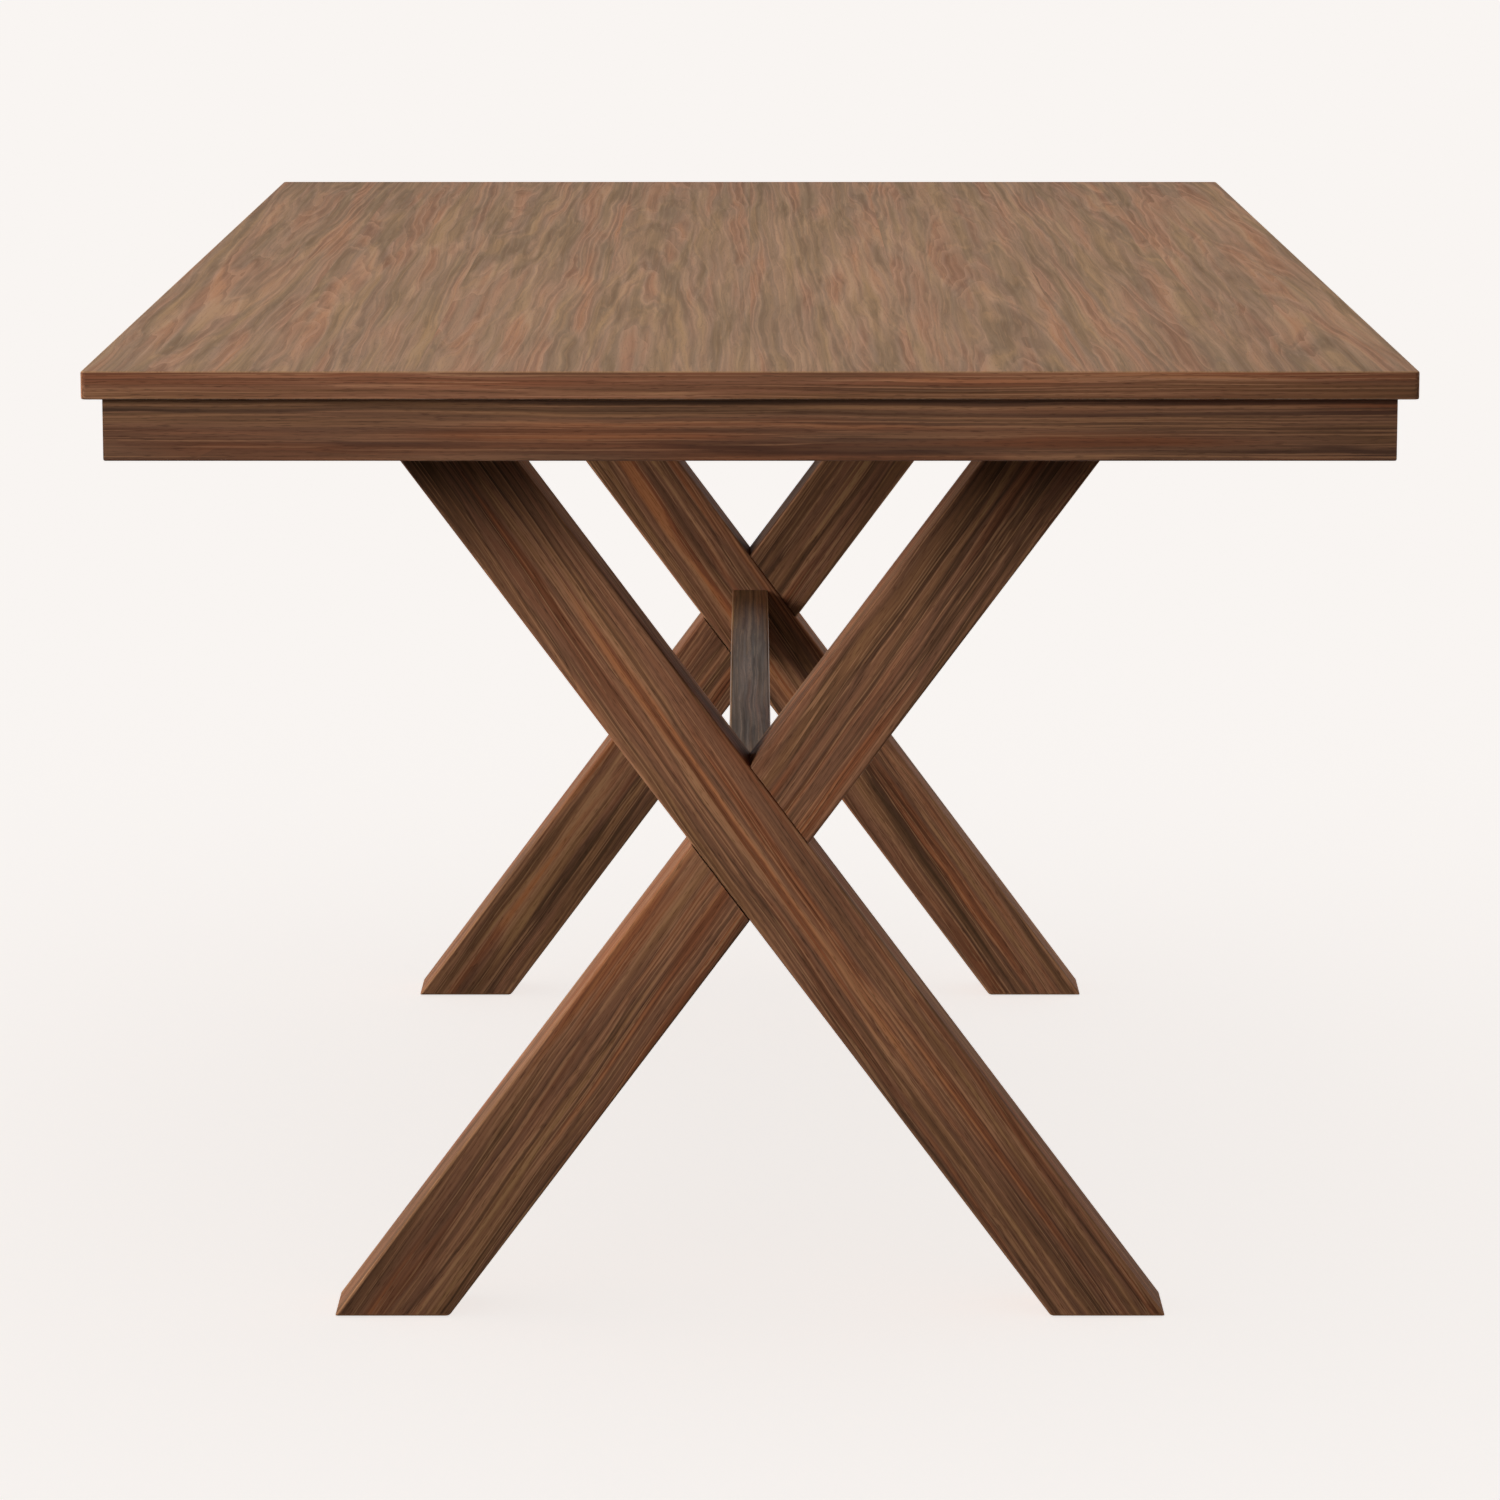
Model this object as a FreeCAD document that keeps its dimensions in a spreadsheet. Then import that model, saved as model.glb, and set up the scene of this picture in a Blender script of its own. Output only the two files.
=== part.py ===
import FreeCAD, Part
import os
import re
import Sketcher

# A dining table on two half-lapped X frames. X runs across the table, Y along it and Z up.
# The origin lies on the floor, below the middle of the top. All sizes are in millimetres.

SIZES = {
    # table top: a core panel with solid lippings, veneered on both faces
    "table_length": 1829,
    "table_width": 940,
    "table_height": 762,
    "top_thickness": 20,
    "veneer_thickness": 0.8,
    "lipping_thickness": 6,
    "top_corner_radius": 4,
    "top_edge_radius": 1.5,
    # apron frame, mitred at its corners
    "apron_setback": 14,
    "apron_height": 45,
    "apron_thickness": 18,
    "apron_edge_radius": 1.5,
    # corner blocks between the aprons, and their screws
    "corner_block_leg": 55,
    "corner_block_recess": 9,
    "corner_screw_grip": 22,
    "corner_counterbore": 3,
    "corner_side_screw_drop": 10,
    "corner_end_screw_drop": 26,
    "corner_top_screw_inset": 14,
    # cleats that hold the aprons to the top
    "cleat_section": 22,
    "cleat_length": 90,
    "cleat_batten_gap": 112.5,
    "cleat_screw_spacing": 45,
    # countersunk wood screws of the cleats and corner blocks
    "screw_diameter": 4,
    "screw_head_diameter": 8,
    "screw_bite": 11,
    # crossed legs
    "frame_inset": 287,
    "leg_width": 71,
    "leg_depth": 70,
    "leg_edge_radius": 2.5,
    "foot_centres": 554,
    "crossing_height": 371,
    "lap_gap": 0.2,
    # felt pads let into the feet
    "pad_diameter": 40,
    "pad_thickness": 4,
    "pad_proud": 1,
    # battens that carry the legs under the top
    "batten_width": 70,
    "batten_thickness": 30,
    "batten_end_gap": 1,
    # bolts from the battens into threaded inserts in the top
    "bolt_diameter": 6,
    "bolt_play": 0.5,
    "bolt_engagement": 9,
    "bolt_head_diameter": 10.5,
    "bolt_head_height": 3.3,
    "bolt_socket_width": 4,
    "bolt_socket_depth": 2,
    "bolt_washer_diameter": 18,
    "bolt_washer_thickness": 1.6,
    "insert_diameter": 10,
    "insert_length": 13,
    # dowels and screws from the battens into the upper ends of the legs
    "leg_dowel_diameter": 10,
    "leg_dowel_length": 40,
    "leg_dowel_batten_depth": 15,
    "leg_dowel_spacing": 30,
    "leg_screw_diameter": 6,
    "leg_screw_head_diameter": 12,
    "leg_screw_bite": 40,
    # stretcher, with an access pocket below each end
    "stretcher_width": 34,
    "stretcher_height": 53,
    "stretcher_edge_radius": 2,
    "pocket_offset": 42,
    "pocket_length": 34,
    "pocket_width": 22,
    "pocket_rise": 11,
    # dowels and hanger bolts from the stretcher into the crossings
    "rail_dowel_diameter": 8,
    "rail_dowel_length": 40,
    "rail_dowel_leg_depth": 20,
    "rail_dowel_inset": 9.5,
    "dowel_chamfer": 1,
    "hanger_diameter": 8,
    "hanger_wall": 5,
    "hanger_projection": 4,
    "hanger_washer_diameter": 17,
    "hanger_washer_thickness": 1.6,
    "hanger_nut_width": 13,
    "hanger_nut_height": 6.5,
    # clearance round every fastener, and how far a cut runs past the wood
    "fit_clearance": 0.2,
    "cut_overrun": 5,
}

doc = FreeCAD.newDocument("dining_table")
sheet = doc.addObject("Spreadsheet::Sheet", "Sizes")
for row, (alias, value) in enumerate(SIZES.items(), start=1):
    sheet.set(f"A{row}", alias)
    sheet.set(f"B{row}", str(value))
    sheet.setAlias(f"B{row}", alias)
doc.recompute()

# Places that several pieces share, as formulas in the sheet's sizes
UNDERSIDE = "(table_height - top_thickness)"
APRON_X = "(table_width / 2 - apron_setback)"
APRON_Y = "(table_length / 2 - apron_setback)"
INNER_X = f"({APRON_X} - apron_thickness)"
INNER_Y = f"({APRON_Y} - apron_thickness)"
FRAME_Y = "(table_length / 2 - frame_inset - leg_depth / 2)"
RAIL_Y = f"({FRAME_Y} - leg_depth / 2)"
LEG_TOP = f"({UNDERSIDE} - batten_thickness)"
BATTEN_LENGTH = f"(2 * {INNER_X} - 2 * batten_end_gap)"
# A leg leans by SLOPE across for each unit up, so its face is LEG_FACE wide on a level cut.
SLOPE = "(foot_centres / 2 / crossing_height)"
LEAN_FACTOR = f"sqrt(1 + {SLOPE}^2)"
LEG_FACE = f"(leg_width * {LEAN_FACTOR})"
LEG_HEAD = f"({SLOPE} * ({LEG_TOP} - crossing_height))"
HANGER_WOOD = "(leg_depth / 2 - hanger_wall)"
HANGER_RAIL = "(pocket_offset + hanger_washer_thickness + hanger_nut_height + hanger_projection)"

# Quarter turns about Z, by the side that a piece faces, and turns that aim a fastener
SIDE_TURNS = {"front": 0, "right": 90, "rear": 180, "left": 270}
HEADINGS = {
    "+z": (FreeCAD.Vector(1, 0, 0), 0),
    "-z": (FreeCAD.Vector(1, 0, 0), 180),
    "+x": (FreeCAD.Vector(0, 1, 0), 90),
    "-x": (FreeCAD.Vector(0, 1, 0), -90),
    "+y": (FreeCAD.Vector(1, 0, 0), -90),
    "-y": (FreeCAD.Vector(1, 0, 0), 90),
}
SIGNS = ("-", "+")
pieces = []


def formula(text):
    """Name the sheet in front of each of its aliases."""
    return re.sub(r"\b[a-z]+(?:_[a-z]+)+\b", r"Sizes.\g<0>", str(text))


def bind(obj, **formulas):
    for prop, text in formulas.items():
        obj.setExpression(prop, formula(text))


def place(obj, x="0", y="0", z="0", heading=None, turn=0):
    """Put an object at a point, aimed along an axis or turned about Z."""
    axis, angle = HEADINGS[heading] if heading else (FreeCAD.Vector(0, 0, 1), turn)
    obj.Placement = FreeCAD.Placement(FreeCAD.Vector(), FreeCAD.Rotation(axis, angle))
    for name, text in (("x", x), ("y", y), ("z", z)):
        obj.setExpression(f"Placement.Base.{name}", formula(text))
    return obj


def piece(obj, label):
    """Count an object as a piece of the table, named for its file."""
    obj.Label = label
    pieces.append(obj)
    return obj


def outline(body, role, points):
    """Draw a closed outline on one of the body's planes, each point held by two formulas."""
    plane = next(feature for feature in body.Origin.OriginFeatures if feature.Role == role)
    sketch = body.newObject("Sketcher::SketchObject", f"{body.Name}Outline")
    sketch.AttachmentSupport = [(plane, "")]
    sketch.MapMode = "FlatFace"
    values = [tuple(float(sheet.evalExpression(formula(text))) for text in point) for point in points]
    corners = [FreeCAD.Vector(x, y, 0) for x, y in values]
    count = len(corners)
    for index in range(count):
        sketch.addGeometry(Part.LineSegment(corners[index], corners[(index + 1) % count]))
    for index in range(count):
        sketch.addConstraint(Sketcher.Constraint("Coincident", index, 2, (index + 1) % count, 1))
        for kind, text, value in zip(("DistanceX", "DistanceY"), points[index], values[index]):
            number = sketch.addConstraint(Sketcher.Constraint(kind, -1, 1, index, 1, value))
            sketch.setExpression(f"Constraints[{number}]", formula(text))
    return sketch


def prism(name, role, points, depth, symmetric=False):
    """A body padded from an outline, to one side or evenly to both."""
    body = doc.addObject("PartDesign::Body", name)
    pad = body.newObject("PartDesign::Pad", f"{name}Pad")
    pad.Profile = outline(body, role, points)
    pad.SideType = "Symmetric" if symmetric else "One side"
    bind(pad, Length=depth)
    doc.recompute()
    return body


def round_edges(body, radius, wanted):
    """Fillet those edges of a body whose middle and direction pass the test."""
    base = body.Tip
    names = []
    for number, edge in enumerate(base.Shape.Edges, start=1):
        along = edge.tangentAt(edge.FirstParameter)
        if wanted(edge.CenterOfMass, along):
            names.append(f"Edge{number}")
    fillet = body.newObject("PartDesign::Fillet", f"{body.Name}Fillet")
    fillet.Base = (base, names)
    bind(fillet, Radius=radius)
    doc.recompute()


def turned(name, points):
    """A body turned about Z from an outline of radii and heights."""
    body = doc.addObject("PartDesign::Body", name)
    sketch = outline(body, "XZ_Plane", points)
    spin = body.newObject("PartDesign::Revolution", f"{name}Spin")
    spin.Profile = sketch
    spin.ReferenceAxis = (sketch, ["V_Axis"])
    doc.recompute()
    return body


def group(name, master, spots):
    """Copies of one master, each a separate solid at its own spot."""
    copies = []
    for spot in spots:
        copy = doc.addObject("App::Link", f"{name}Copy")
        copy.LinkedObject = master
        copies.append(place(copy, *spot))
    compound = doc.addObject("Part::Compound", name)
    compound.Links = copies
    doc.recompute()
    return compound


def cut(base, *tools):
    """Take each tool out of the base, and check that each one removed wood."""
    for tool in tools:
        result = doc.addObject("Part::Cut", f"{base.Name}Cut")
        result.Base = base
        result.Tool = tool
        doc.recompute()
        if result.Shape.Volume >= base.Shape.Volume:
            raise ValueError(f"{tool.Name} takes nothing out of {base.Name}")
        base = result
    return base


def common(first, second):
    result = doc.addObject("Part::Common", f"{first.Name}Common")
    result.Base = first
    result.Tool = second
    doc.recompute()
    return result


def bar(name, length, width, height, mitre="0"):
    """A level bar with its outer face on Y zero, mitred inwards at both ends or cut square."""
    outer, inner = f"{length} / 2", f"({length} / 2 - {mitre})"
    points = [(f"-{outer}", "0"), (outer, "0"), (inner, width), (f"-{inner}", width)]
    return prism(name, "XY_Plane", points, height)


def disc(name, outer, thickness, bore=None):
    """A disc or ring from its diameters, standing on Z zero."""
    edge = f"{bore} / 2" if bore else "0"
    points = [(edge, "0"), (f"{outer} / 2", "0"), (f"{outer} / 2", thickness), (edge, thickness)]
    return turned(name, points)


def hole(name, diameter, start, end):
    """The tool for a round hole, with clearance round what goes in it."""
    radius = f"({diameter} / 2 + fit_clearance)"
    return turned(name, [("0", start), (radius, start), (radius, end), ("0", end)])


def wood_screw(name, diameter, head, length):
    """A countersunk screw with its head on Z zero and its point above."""
    shank, rim = f"{diameter} / 2", f"{head} / 2"
    points = [("0", "0"), (rim, "0"), (shank, f"({head} - {diameter}) / 2")]
    points += [(shank, f"{length} - {diameter}"), ("0", length)]
    return turned(name, points)


def screw_hole(name, diameter, head, length, reach):
    """The tool for a countersunk hole, open for its reach behind the head."""
    shank, rim = f"({diameter} / 2 + fit_clearance)", f"({head} / 2 + fit_clearance)"
    end = f"({length} + fit_clearance)"
    points = [("0", f"-{reach}"), (rim, f"-{reach}"), (rim, "0")]
    points += [(shank, f"({head} - {diameter}) / 2"), (shank, end), ("0", end)]
    return turned(name, points)


def dowel(name, diameter, length):
    """A dowel with chamfered ends, standing on Z zero."""
    radius, waist = f"{diameter} / 2", f"({diameter} / 2 - dowel_chamfer)"
    points = [("0", "0"), (waist, "0"), (radius, "dowel_chamfer"), (radius, f"{length} - dowel_chamfer")]
    points += [(waist, length), ("0", length)]
    return turned(name, points)


def leg_axis(height):
    """Distance from the middle of the table to the outer leg's axis at a height."""
    return f"({SLOPE} * (crossing_height - {height}))"


def frame_spots(across, height, heading, y=FRAME_Y):
    """Spots on both sides of both X frames, at distances across from the middle."""
    return [(f"{side}{x}", f"{end}{y}", height, heading)
            for end in SIGNS for side in SIGNS for x in across]


# Fasteners of the corner blocks
corner_length = "(corner_screw_grip + screw_bite)"
corner_inset = "(corner_block_leg - corner_screw_grip - corner_counterbore)"
corner_spots = []
for x in SIGNS:
    for y in SIGNS:
        corner_spots.append((f"{x}({INNER_X} - corner_top_screw_inset)",
                             f"{y}({INNER_Y} - corner_top_screw_inset)",
                             f"{UNDERSIDE} - corner_screw_grip", "+z"))
        corner_spots.append((f"{x}({INNER_X} - corner_screw_grip)", f"{y}({INNER_Y} - {corner_inset})",
                             f"{UNDERSIDE} - corner_side_screw_drop", f"{x}x"))
        corner_spots.append((f"{x}({INNER_X} - {corner_inset})", f"{y}({INNER_Y} - corner_screw_grip)",
                             f"{UNDERSIDE} - corner_end_screw_drop", f"{y}y"))
corner_screw = wood_screw("CornerScrew", "screw_diameter", "screw_head_diameter", corner_length)
corner_tool = screw_hole("CornerScrewHole", "screw_diameter", "screw_head_diameter", corner_length,
                         "corner_block_leg")
corner_holes = group("CornerScrewHoles", corner_tool, corner_spots)
piece(group("CornerBlockScrews", corner_screw, corner_spots), "corner_block_screws")

# Fasteners of the cleats: one into the top and one into the apron from each cleat
cleat_turns = {}
cleat_spots = []
for side, x in (("left", "-"), ("right", "+")):
    for step, where in ((-1, "front"), (0, "middle"), (1, "rear")):
        middle = f"{step} * ({RAIL_Y} - cleat_batten_gap - cleat_length / 2)"
        cleat_turns[f"{side}_{where}_cleat"] = (f"{x}{INNER_X}", middle, SIDE_TURNS[side])
        cleat_spots.append((f"{x}({INNER_X} - cleat_section / 2)", f"{middle} + cleat_screw_spacing / 2",
                            f"{UNDERSIDE} - cleat_section", "+z"))
        cleat_spots.append((f"{x}({INNER_X} - cleat_section)", f"{middle} - cleat_screw_spacing / 2",
                            f"{UNDERSIDE} - cleat_section / 2", f"{x}x"))
for side, y in (("front", "-"), ("rear", "+")):
    cleat_turns[f"{side}_end_cleat"] = ("0", f"{y}{INNER_Y}", SIDE_TURNS[side])
    cleat_spots.append(("cleat_screw_spacing / 2", f"{y}({INNER_Y} - cleat_section / 2)",
                        f"{UNDERSIDE} - cleat_section", "+z"))
    cleat_spots.append(("-cleat_screw_spacing / 2", f"{y}({INNER_Y} - cleat_section)",
                        f"{UNDERSIDE} - cleat_section / 2", f"{y}y"))
cleat_reach = "(cleat_section + screw_bite)"
cleat_screw = wood_screw("CleatScrew", "screw_diameter", "screw_head_diameter", cleat_reach)
cleat_tool = screw_hole("CleatScrewHole", "screw_diameter", "screw_head_diameter", cleat_reach,
                        "cut_overrun")
cleat_holes = group("CleatScrewHoles", cleat_tool, cleat_spots)
piece(group("CleatScrews", cleat_screw, cleat_spots), "cleat_screws")

# Bolts, washers and threaded inserts between the battens and the top, each midway along its stretch of
# batten: from a leg's head to the batten's end, and from the middle of the table to the leg's head
bolt_places = [f"(({LEG_HEAD} + {LEG_FACE} / 2 + {BATTEN_LENGTH} / 2) / 2)",
               f"(({LEG_HEAD} - {LEG_FACE} / 2) / 2)"]
bolt_length = "(bolt_washer_thickness + batten_thickness + bolt_engagement)"
bolt_rim, bolt_shank = "bolt_head_diameter / 2", "bolt_diameter / 2"
bolt_blank = turned("BoltBlank", [("0", "-bolt_head_height"), (bolt_rim, "-bolt_head_height"),
                                  (bolt_rim, "0"), (bolt_shank, "0"),
                                  (bolt_shank, bolt_length), ("0", bolt_length)])
# A hexagon's corners lie on a circle of its width across flats over the square root of three.
bolt_socket = doc.addObject("Part::Prism", "BoltSocket")
bind(bolt_socket, Circumradius="bolt_socket_width / sqrt(3)", Height="bolt_socket_depth + cut_overrun")
place(bolt_socket, z="-bolt_head_height - cut_overrun")
bolt = cut(bolt_blank, bolt_socket)
bolt_bore = "(bolt_diameter + 2 * fit_clearance)"
bolt_washer = disc("BoltWasher", "bolt_washer_diameter", "bolt_washer_thickness", bolt_bore)
threaded_insert = disc("ThreadedInsert", "insert_diameter", "insert_length", bolt_bore)
insert_tool = hole("InsertHole", "insert_diameter", "-cut_overrun", "insert_length")
bolt_tool = hole("BoltHole", "(bolt_diameter + bolt_play)", "-cut_overrun", bolt_length)
washer_height = f"{LEG_TOP} - bolt_washer_thickness"
bolt_spots = frame_spots(bolt_places, washer_height, "+z")
insert_spots = frame_spots(bolt_places, UNDERSIDE, "+z")
piece(group("BattenBolts", bolt, bolt_spots), "batten_bolts")
piece(group("BattenWashers", bolt_washer, bolt_spots), "batten_washers")
piece(group("TopInserts", threaded_insert, insert_spots), "top_threaded_inserts")
insert_holes = group("InsertHoles", insert_tool, insert_spots)
bolt_holes = group("BoltHoles", bolt_tool, bolt_spots)

# Dowels and screws between the battens and the legs, set on the legs' axis halfway down the dowels
dowel_leg_depth = "(leg_dowel_length - leg_dowel_batten_depth)"
leg_middle = f"(-{leg_axis(f'({LEG_TOP} - {dowel_leg_depth} / 2)')})"
dowel_places = [f"({leg_middle} - leg_dowel_spacing / 2)", f"({leg_middle} + leg_dowel_spacing / 2)"]
leg_dowel = dowel("LegDowel", "leg_dowel_diameter", "leg_dowel_length")
leg_dowel_tool = hole("LegDowelHole", "leg_dowel_diameter", "-fit_clearance",
                      "(leg_dowel_length + fit_clearance)")
leg_dowel_spots = frame_spots(dowel_places, f"{LEG_TOP} - {dowel_leg_depth}", "+z")
leg_screw_length = "(batten_thickness + leg_screw_bite)"
leg_screw = wood_screw("LegScrew", "leg_screw_diameter", "leg_screw_head_diameter", leg_screw_length)
leg_screw_tool = screw_hole("LegScrewHole", "leg_screw_diameter", "leg_screw_head_diameter",
                            leg_screw_length, "cut_overrun")
leg_screw_spots = frame_spots([leg_middle], UNDERSIDE, "-z")
piece(group("LegTopDowels", leg_dowel, leg_dowel_spots), "leg_top_dowels")
piece(group("LegTopScrews", leg_screw, leg_screw_spots), "leg_top_screws")
leg_dowel_holes = group("LegDowelHoles", leg_dowel_tool, leg_dowel_spots)
leg_screw_holes = group("LegScrewHoles", leg_screw_tool, leg_screw_spots)

# Dowels, hanger bolts, washers and nuts between the stretcher and the crossings
rail_ends = (("-", "+y"), ("+", "-y"))
rail_dowel_drop = "(stretcher_height / 2 - rail_dowel_inset)"
rail_dowel_spots = [("0", f"{end}({RAIL_Y} + rail_dowel_leg_depth)",
                     f"crossing_height {way} {rail_dowel_drop}", heading)
                    for end, heading in rail_ends for way in SIGNS]
hanger_spots = [("0", f"{end}{RAIL_Y}", "crossing_height", heading) for end, heading in rail_ends]
washer_spots = [("0", f"{end}({RAIL_Y} - pocket_offset)", "crossing_height", heading)
                for end, heading in rail_ends]
nut_spots = [("0", f"{end}({RAIL_Y} - pocket_offset - hanger_washer_thickness)", "crossing_height", heading)
             for end, heading in rail_ends]
rail_dowel = dowel("RailDowel", "rail_dowel_diameter", "rail_dowel_length")
rail_dowel_tool = hole("RailDowelHole", "rail_dowel_diameter", "-fit_clearance",
                       "(rail_dowel_length + fit_clearance)")
hanger_radius = "hanger_diameter / 2"
hanger = turned("HangerBolt", [("0", f"-{HANGER_WOOD}"), (hanger_radius, f"-{HANGER_WOOD} + hanger_diameter"),
                               (hanger_radius, HANGER_RAIL), ("0", HANGER_RAIL)])
hanger_tool = hole("HangerHole", "hanger_diameter", f"-({HANGER_WOOD} + fit_clearance)", "pocket_offset")
hanger_bore = "(hanger_diameter + 2 * fit_clearance)"
hanger_washer = disc("HangerWasher", "hanger_washer_diameter", "hanger_washer_thickness", hanger_bore)
nut_blank = doc.addObject("Part::Prism", "NutBlank")
bind(nut_blank, Circumradius="hanger_nut_width / sqrt(3)", Height="hanger_nut_height")
nut_bore = hole("NutBore", "hanger_diameter", "-cut_overrun", "(hanger_nut_height + cut_overrun)")
hanger_nut = cut(nut_blank, nut_bore)
piece(group("StretcherDowels", rail_dowel, rail_dowel_spots), "stretcher_dowels")
piece(group("HangerBolts", hanger, hanger_spots), "stretcher_hanger_bolts")
piece(group("HangerWashers", hanger_washer, washer_spots), "stretcher_washers")
piece(group("HangerNuts", hanger_nut, nut_spots), "stretcher_nuts")
rail_dowel_holes = group("RailDowelHoles", rail_dowel_tool, rail_dowel_spots)
hanger_holes = group("HangerHoles", hanger_tool, hanger_spots)

# Table top: every layer and lipping is trimmed to one envelope with eased corners and edges
half_width, half_length = "table_width / 2", "table_length / 2"
plan = [(f"-{half_width}", f"-{half_length}"), (half_width, f"-{half_length}"),
        (half_width, half_length), (f"-{half_width}", half_length)]
envelope = prism("TopEnvelope", "XY_Plane", plan, "top_thickness")
round_edges(envelope, "top_corner_radius", lambda middle, along: abs(along.z) > abs(along.x) + abs(along.y))
round_edges(envelope, "top_edge_radius", lambda middle, along: abs(along.z) < abs(along.x) + abs(along.y))
place(envelope, z=UNDERSIDE)


def sheet_layer(name, height, thickness, inset):
    """A flat layer of the top, drawn in from its edges by an inset."""
    layer = doc.addObject("Part::Box", name)
    bind(layer, Length=f"table_width - 2 * {inset}", Width=f"table_length - 2 * {inset}", Height=thickness)
    return place(layer, f"{inset} - {half_width}", f"{inset} - {half_length}", height)


core_bottom = f"({UNDERSIDE} + veneer_thickness)"
core_thickness = "(top_thickness - 2 * veneer_thickness)"
core = sheet_layer("CorePanel", core_bottom, core_thickness, "lipping_thickness")
piece(cut(core, insert_holes, corner_holes, cleat_holes), "top_core_panel")
face = sheet_layer("FaceVeneer", "table_height - veneer_thickness", "veneer_thickness", "0")
piece(common(face, envelope), "top_face_veneer")
backing = common(sheet_layer("BackingVeneer", UNDERSIDE, "veneer_thickness", "0"), envelope)
piece(cut(backing, insert_holes, corner_holes, cleat_holes), "top_backing_veneer")

side_places = {"front": ("0", "-1"), "right": ("1", "0"), "rear": ("0", "1"), "left": ("-1", "0")}
for side, (x, y) in side_places.items():
    length = "table_length" if side in ("left", "right") else "table_width"
    strip = bar(f"{side.title()}Lipping", length, "lipping_thickness", core_thickness, "lipping_thickness")
    place(strip, f"{x} * {half_width}", f"{y} * {half_length}", core_bottom, turn=SIDE_TURNS[side])
    piece(common(strip, envelope), f"{side}_edge_lipping")

# Aprons, with the lower outer edge eased
apron_names = {"front": "front_end_apron", "right": "right_side_apron",
               "rear": "rear_end_apron", "left": "left_side_apron"}
for side, (x, y) in side_places.items():
    length = f"(2 * {APRON_Y})" if side in ("left", "right") else f"(2 * {APRON_X})"
    apron = bar(f"{side.title()}Apron", length, "apron_thickness", "apron_height", "apron_thickness")
    inner = float(sheet.evalExpression(formula("apron_thickness / 2")))
    low = float(sheet.evalExpression(formula("apron_height / 2")))
    round_edges(apron, "apron_edge_radius",
                lambda middle, along: middle.y < inner and middle.z < low and abs(along.x) > abs(along.y))
    place(apron, f"{x} * {APRON_X}", f"{y} * {APRON_Y}", f"{UNDERSIDE} - apron_height", turn=SIDE_TURNS[side])
    piece(cut(apron, corner_holes, cleat_holes), apron_names[side])

# Corner blocks and cleats
block_height = "(apron_height - corner_block_recess)"
block_corners = (("front_left", "-", "-", "front"), ("front_right", "+", "-", "right"),
                 ("rear_right", "+", "+", "rear"), ("rear_left", "-", "+", "left"))
for corner, x, y, side in block_corners:
    points = [("0", "0"), ("corner_block_leg", "0"), ("0", "corner_block_leg")]
    block = prism(f"{corner.title().replace('_', '')}Block", "XY_Plane", points, block_height)
    place(block, f"{x}{INNER_X}", f"{y}{INNER_Y}", f"{UNDERSIDE} - {block_height}", turn=SIDE_TURNS[side])
    piece(cut(block, corner_holes), f"{corner}_corner_block")
for label, (x, y, turn) in cleat_turns.items():
    cleat = bar(label.title().replace("_", ""), "cleat_length", "cleat_section", "cleat_section")
    place(cleat, x, y, f"{UNDERSIDE} - cleat_section", turn=turn)
    piece(cut(cleat, cleat_holes), label)

# Felt pads in the feet, each a little proud of the wood
pad_axis = leg_axis("0")
pad_tool = hole("PadRecess", "pad_diameter", "-cut_overrun", "pad_thickness")
pad_holes = group("PadRecesses", pad_tool, frame_spots([pad_axis], "0", "+z"))
for corner, x, y, side in block_corners:
    pad = disc(f"{corner.title().replace('_', '')}Pad", "pad_diameter", "pad_thickness")
    piece(place(pad, f"{x}{pad_axis}", f"{y}{FRAME_Y}"), f"{corner}_floor_pad")


def leg(name):
    """A leaning leg, drawn about its crossing with its foot to the right and its notch behind."""
    edge = f"{LEG_FACE} / 2"
    foot, head = leg_axis("pad_proud"), leg_axis(LEG_TOP)
    points = [(f"{foot} - {edge}", "pad_proud"), (f"{foot} + {edge}", "pad_proud"),
              (f"{head} + {edge}", LEG_TOP), (f"{head} - {edge}", LEG_TOP)]
    body = prism(name, "XZ_Plane", points, "leg_depth", symmetric=True)
    crossing = float(sheet.evalExpression(formula("crossing_height")))
    behind = float(sheet.evalExpression(formula("leg_depth / 4")))
    # The long edges and those round the foot are eased; the head is left square for its batten.
    round_edges(body, "leg_edge_radius",
                lambda middle, along: abs(along.z) > abs(along.y) or middle.z < crossing / 2)
    # The notch follows the other leg, with a gap at its shoulders, and runs well past this leg's edges.
    shoulder = f"({edge} + lap_gap * {LEAN_FACTOR})"
    reach = f"{LEG_FACE} / {SLOPE}"
    low, high = f"crossing_height - {reach}", f"crossing_height + {reach}"
    strip = [(f"-{LEG_FACE} - {shoulder}", low), (f"-{LEG_FACE} + {shoulder}", low),
             (f"{LEG_FACE} + {shoulder}", high), (f"{LEG_FACE} - {shoulder}", high)]
    notch = body.newObject("PartDesign::Pocket", f"{name}Notch")
    notch.Profile = outline(body, "XZ_Plane", strip)
    bind(notch, Length="leg_depth / 2")
    doc.recompute()
    if body.Shape.isInside(FreeCAD.Vector(0, behind, crossing), 0, True):
        notch.Reversed = True
        doc.recompute()
    return body


# Each X frame has a leg whose outer face runs through, and one whose inner face does. Each leg is
# turned to the side that its unbroken face looks to.
leg_places = (("front_outer_leg", "-", "front"), ("front_inner_leg", "-", "rear"),
              ("rear_outer_leg", "+", "rear"), ("rear_inner_leg", "+", "front"))
for label, y, side in leg_places:
    timber = place(leg(label.title().replace("_", "")), y=f"{y}{FRAME_Y}", turn=SIDE_TURNS[side])
    timber = cut(timber, pad_holes, leg_dowel_holes, leg_screw_holes)
    if "inner" in label:
        timber = cut(timber, rail_dowel_holes, hanger_holes)
    piece(timber, label)

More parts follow.
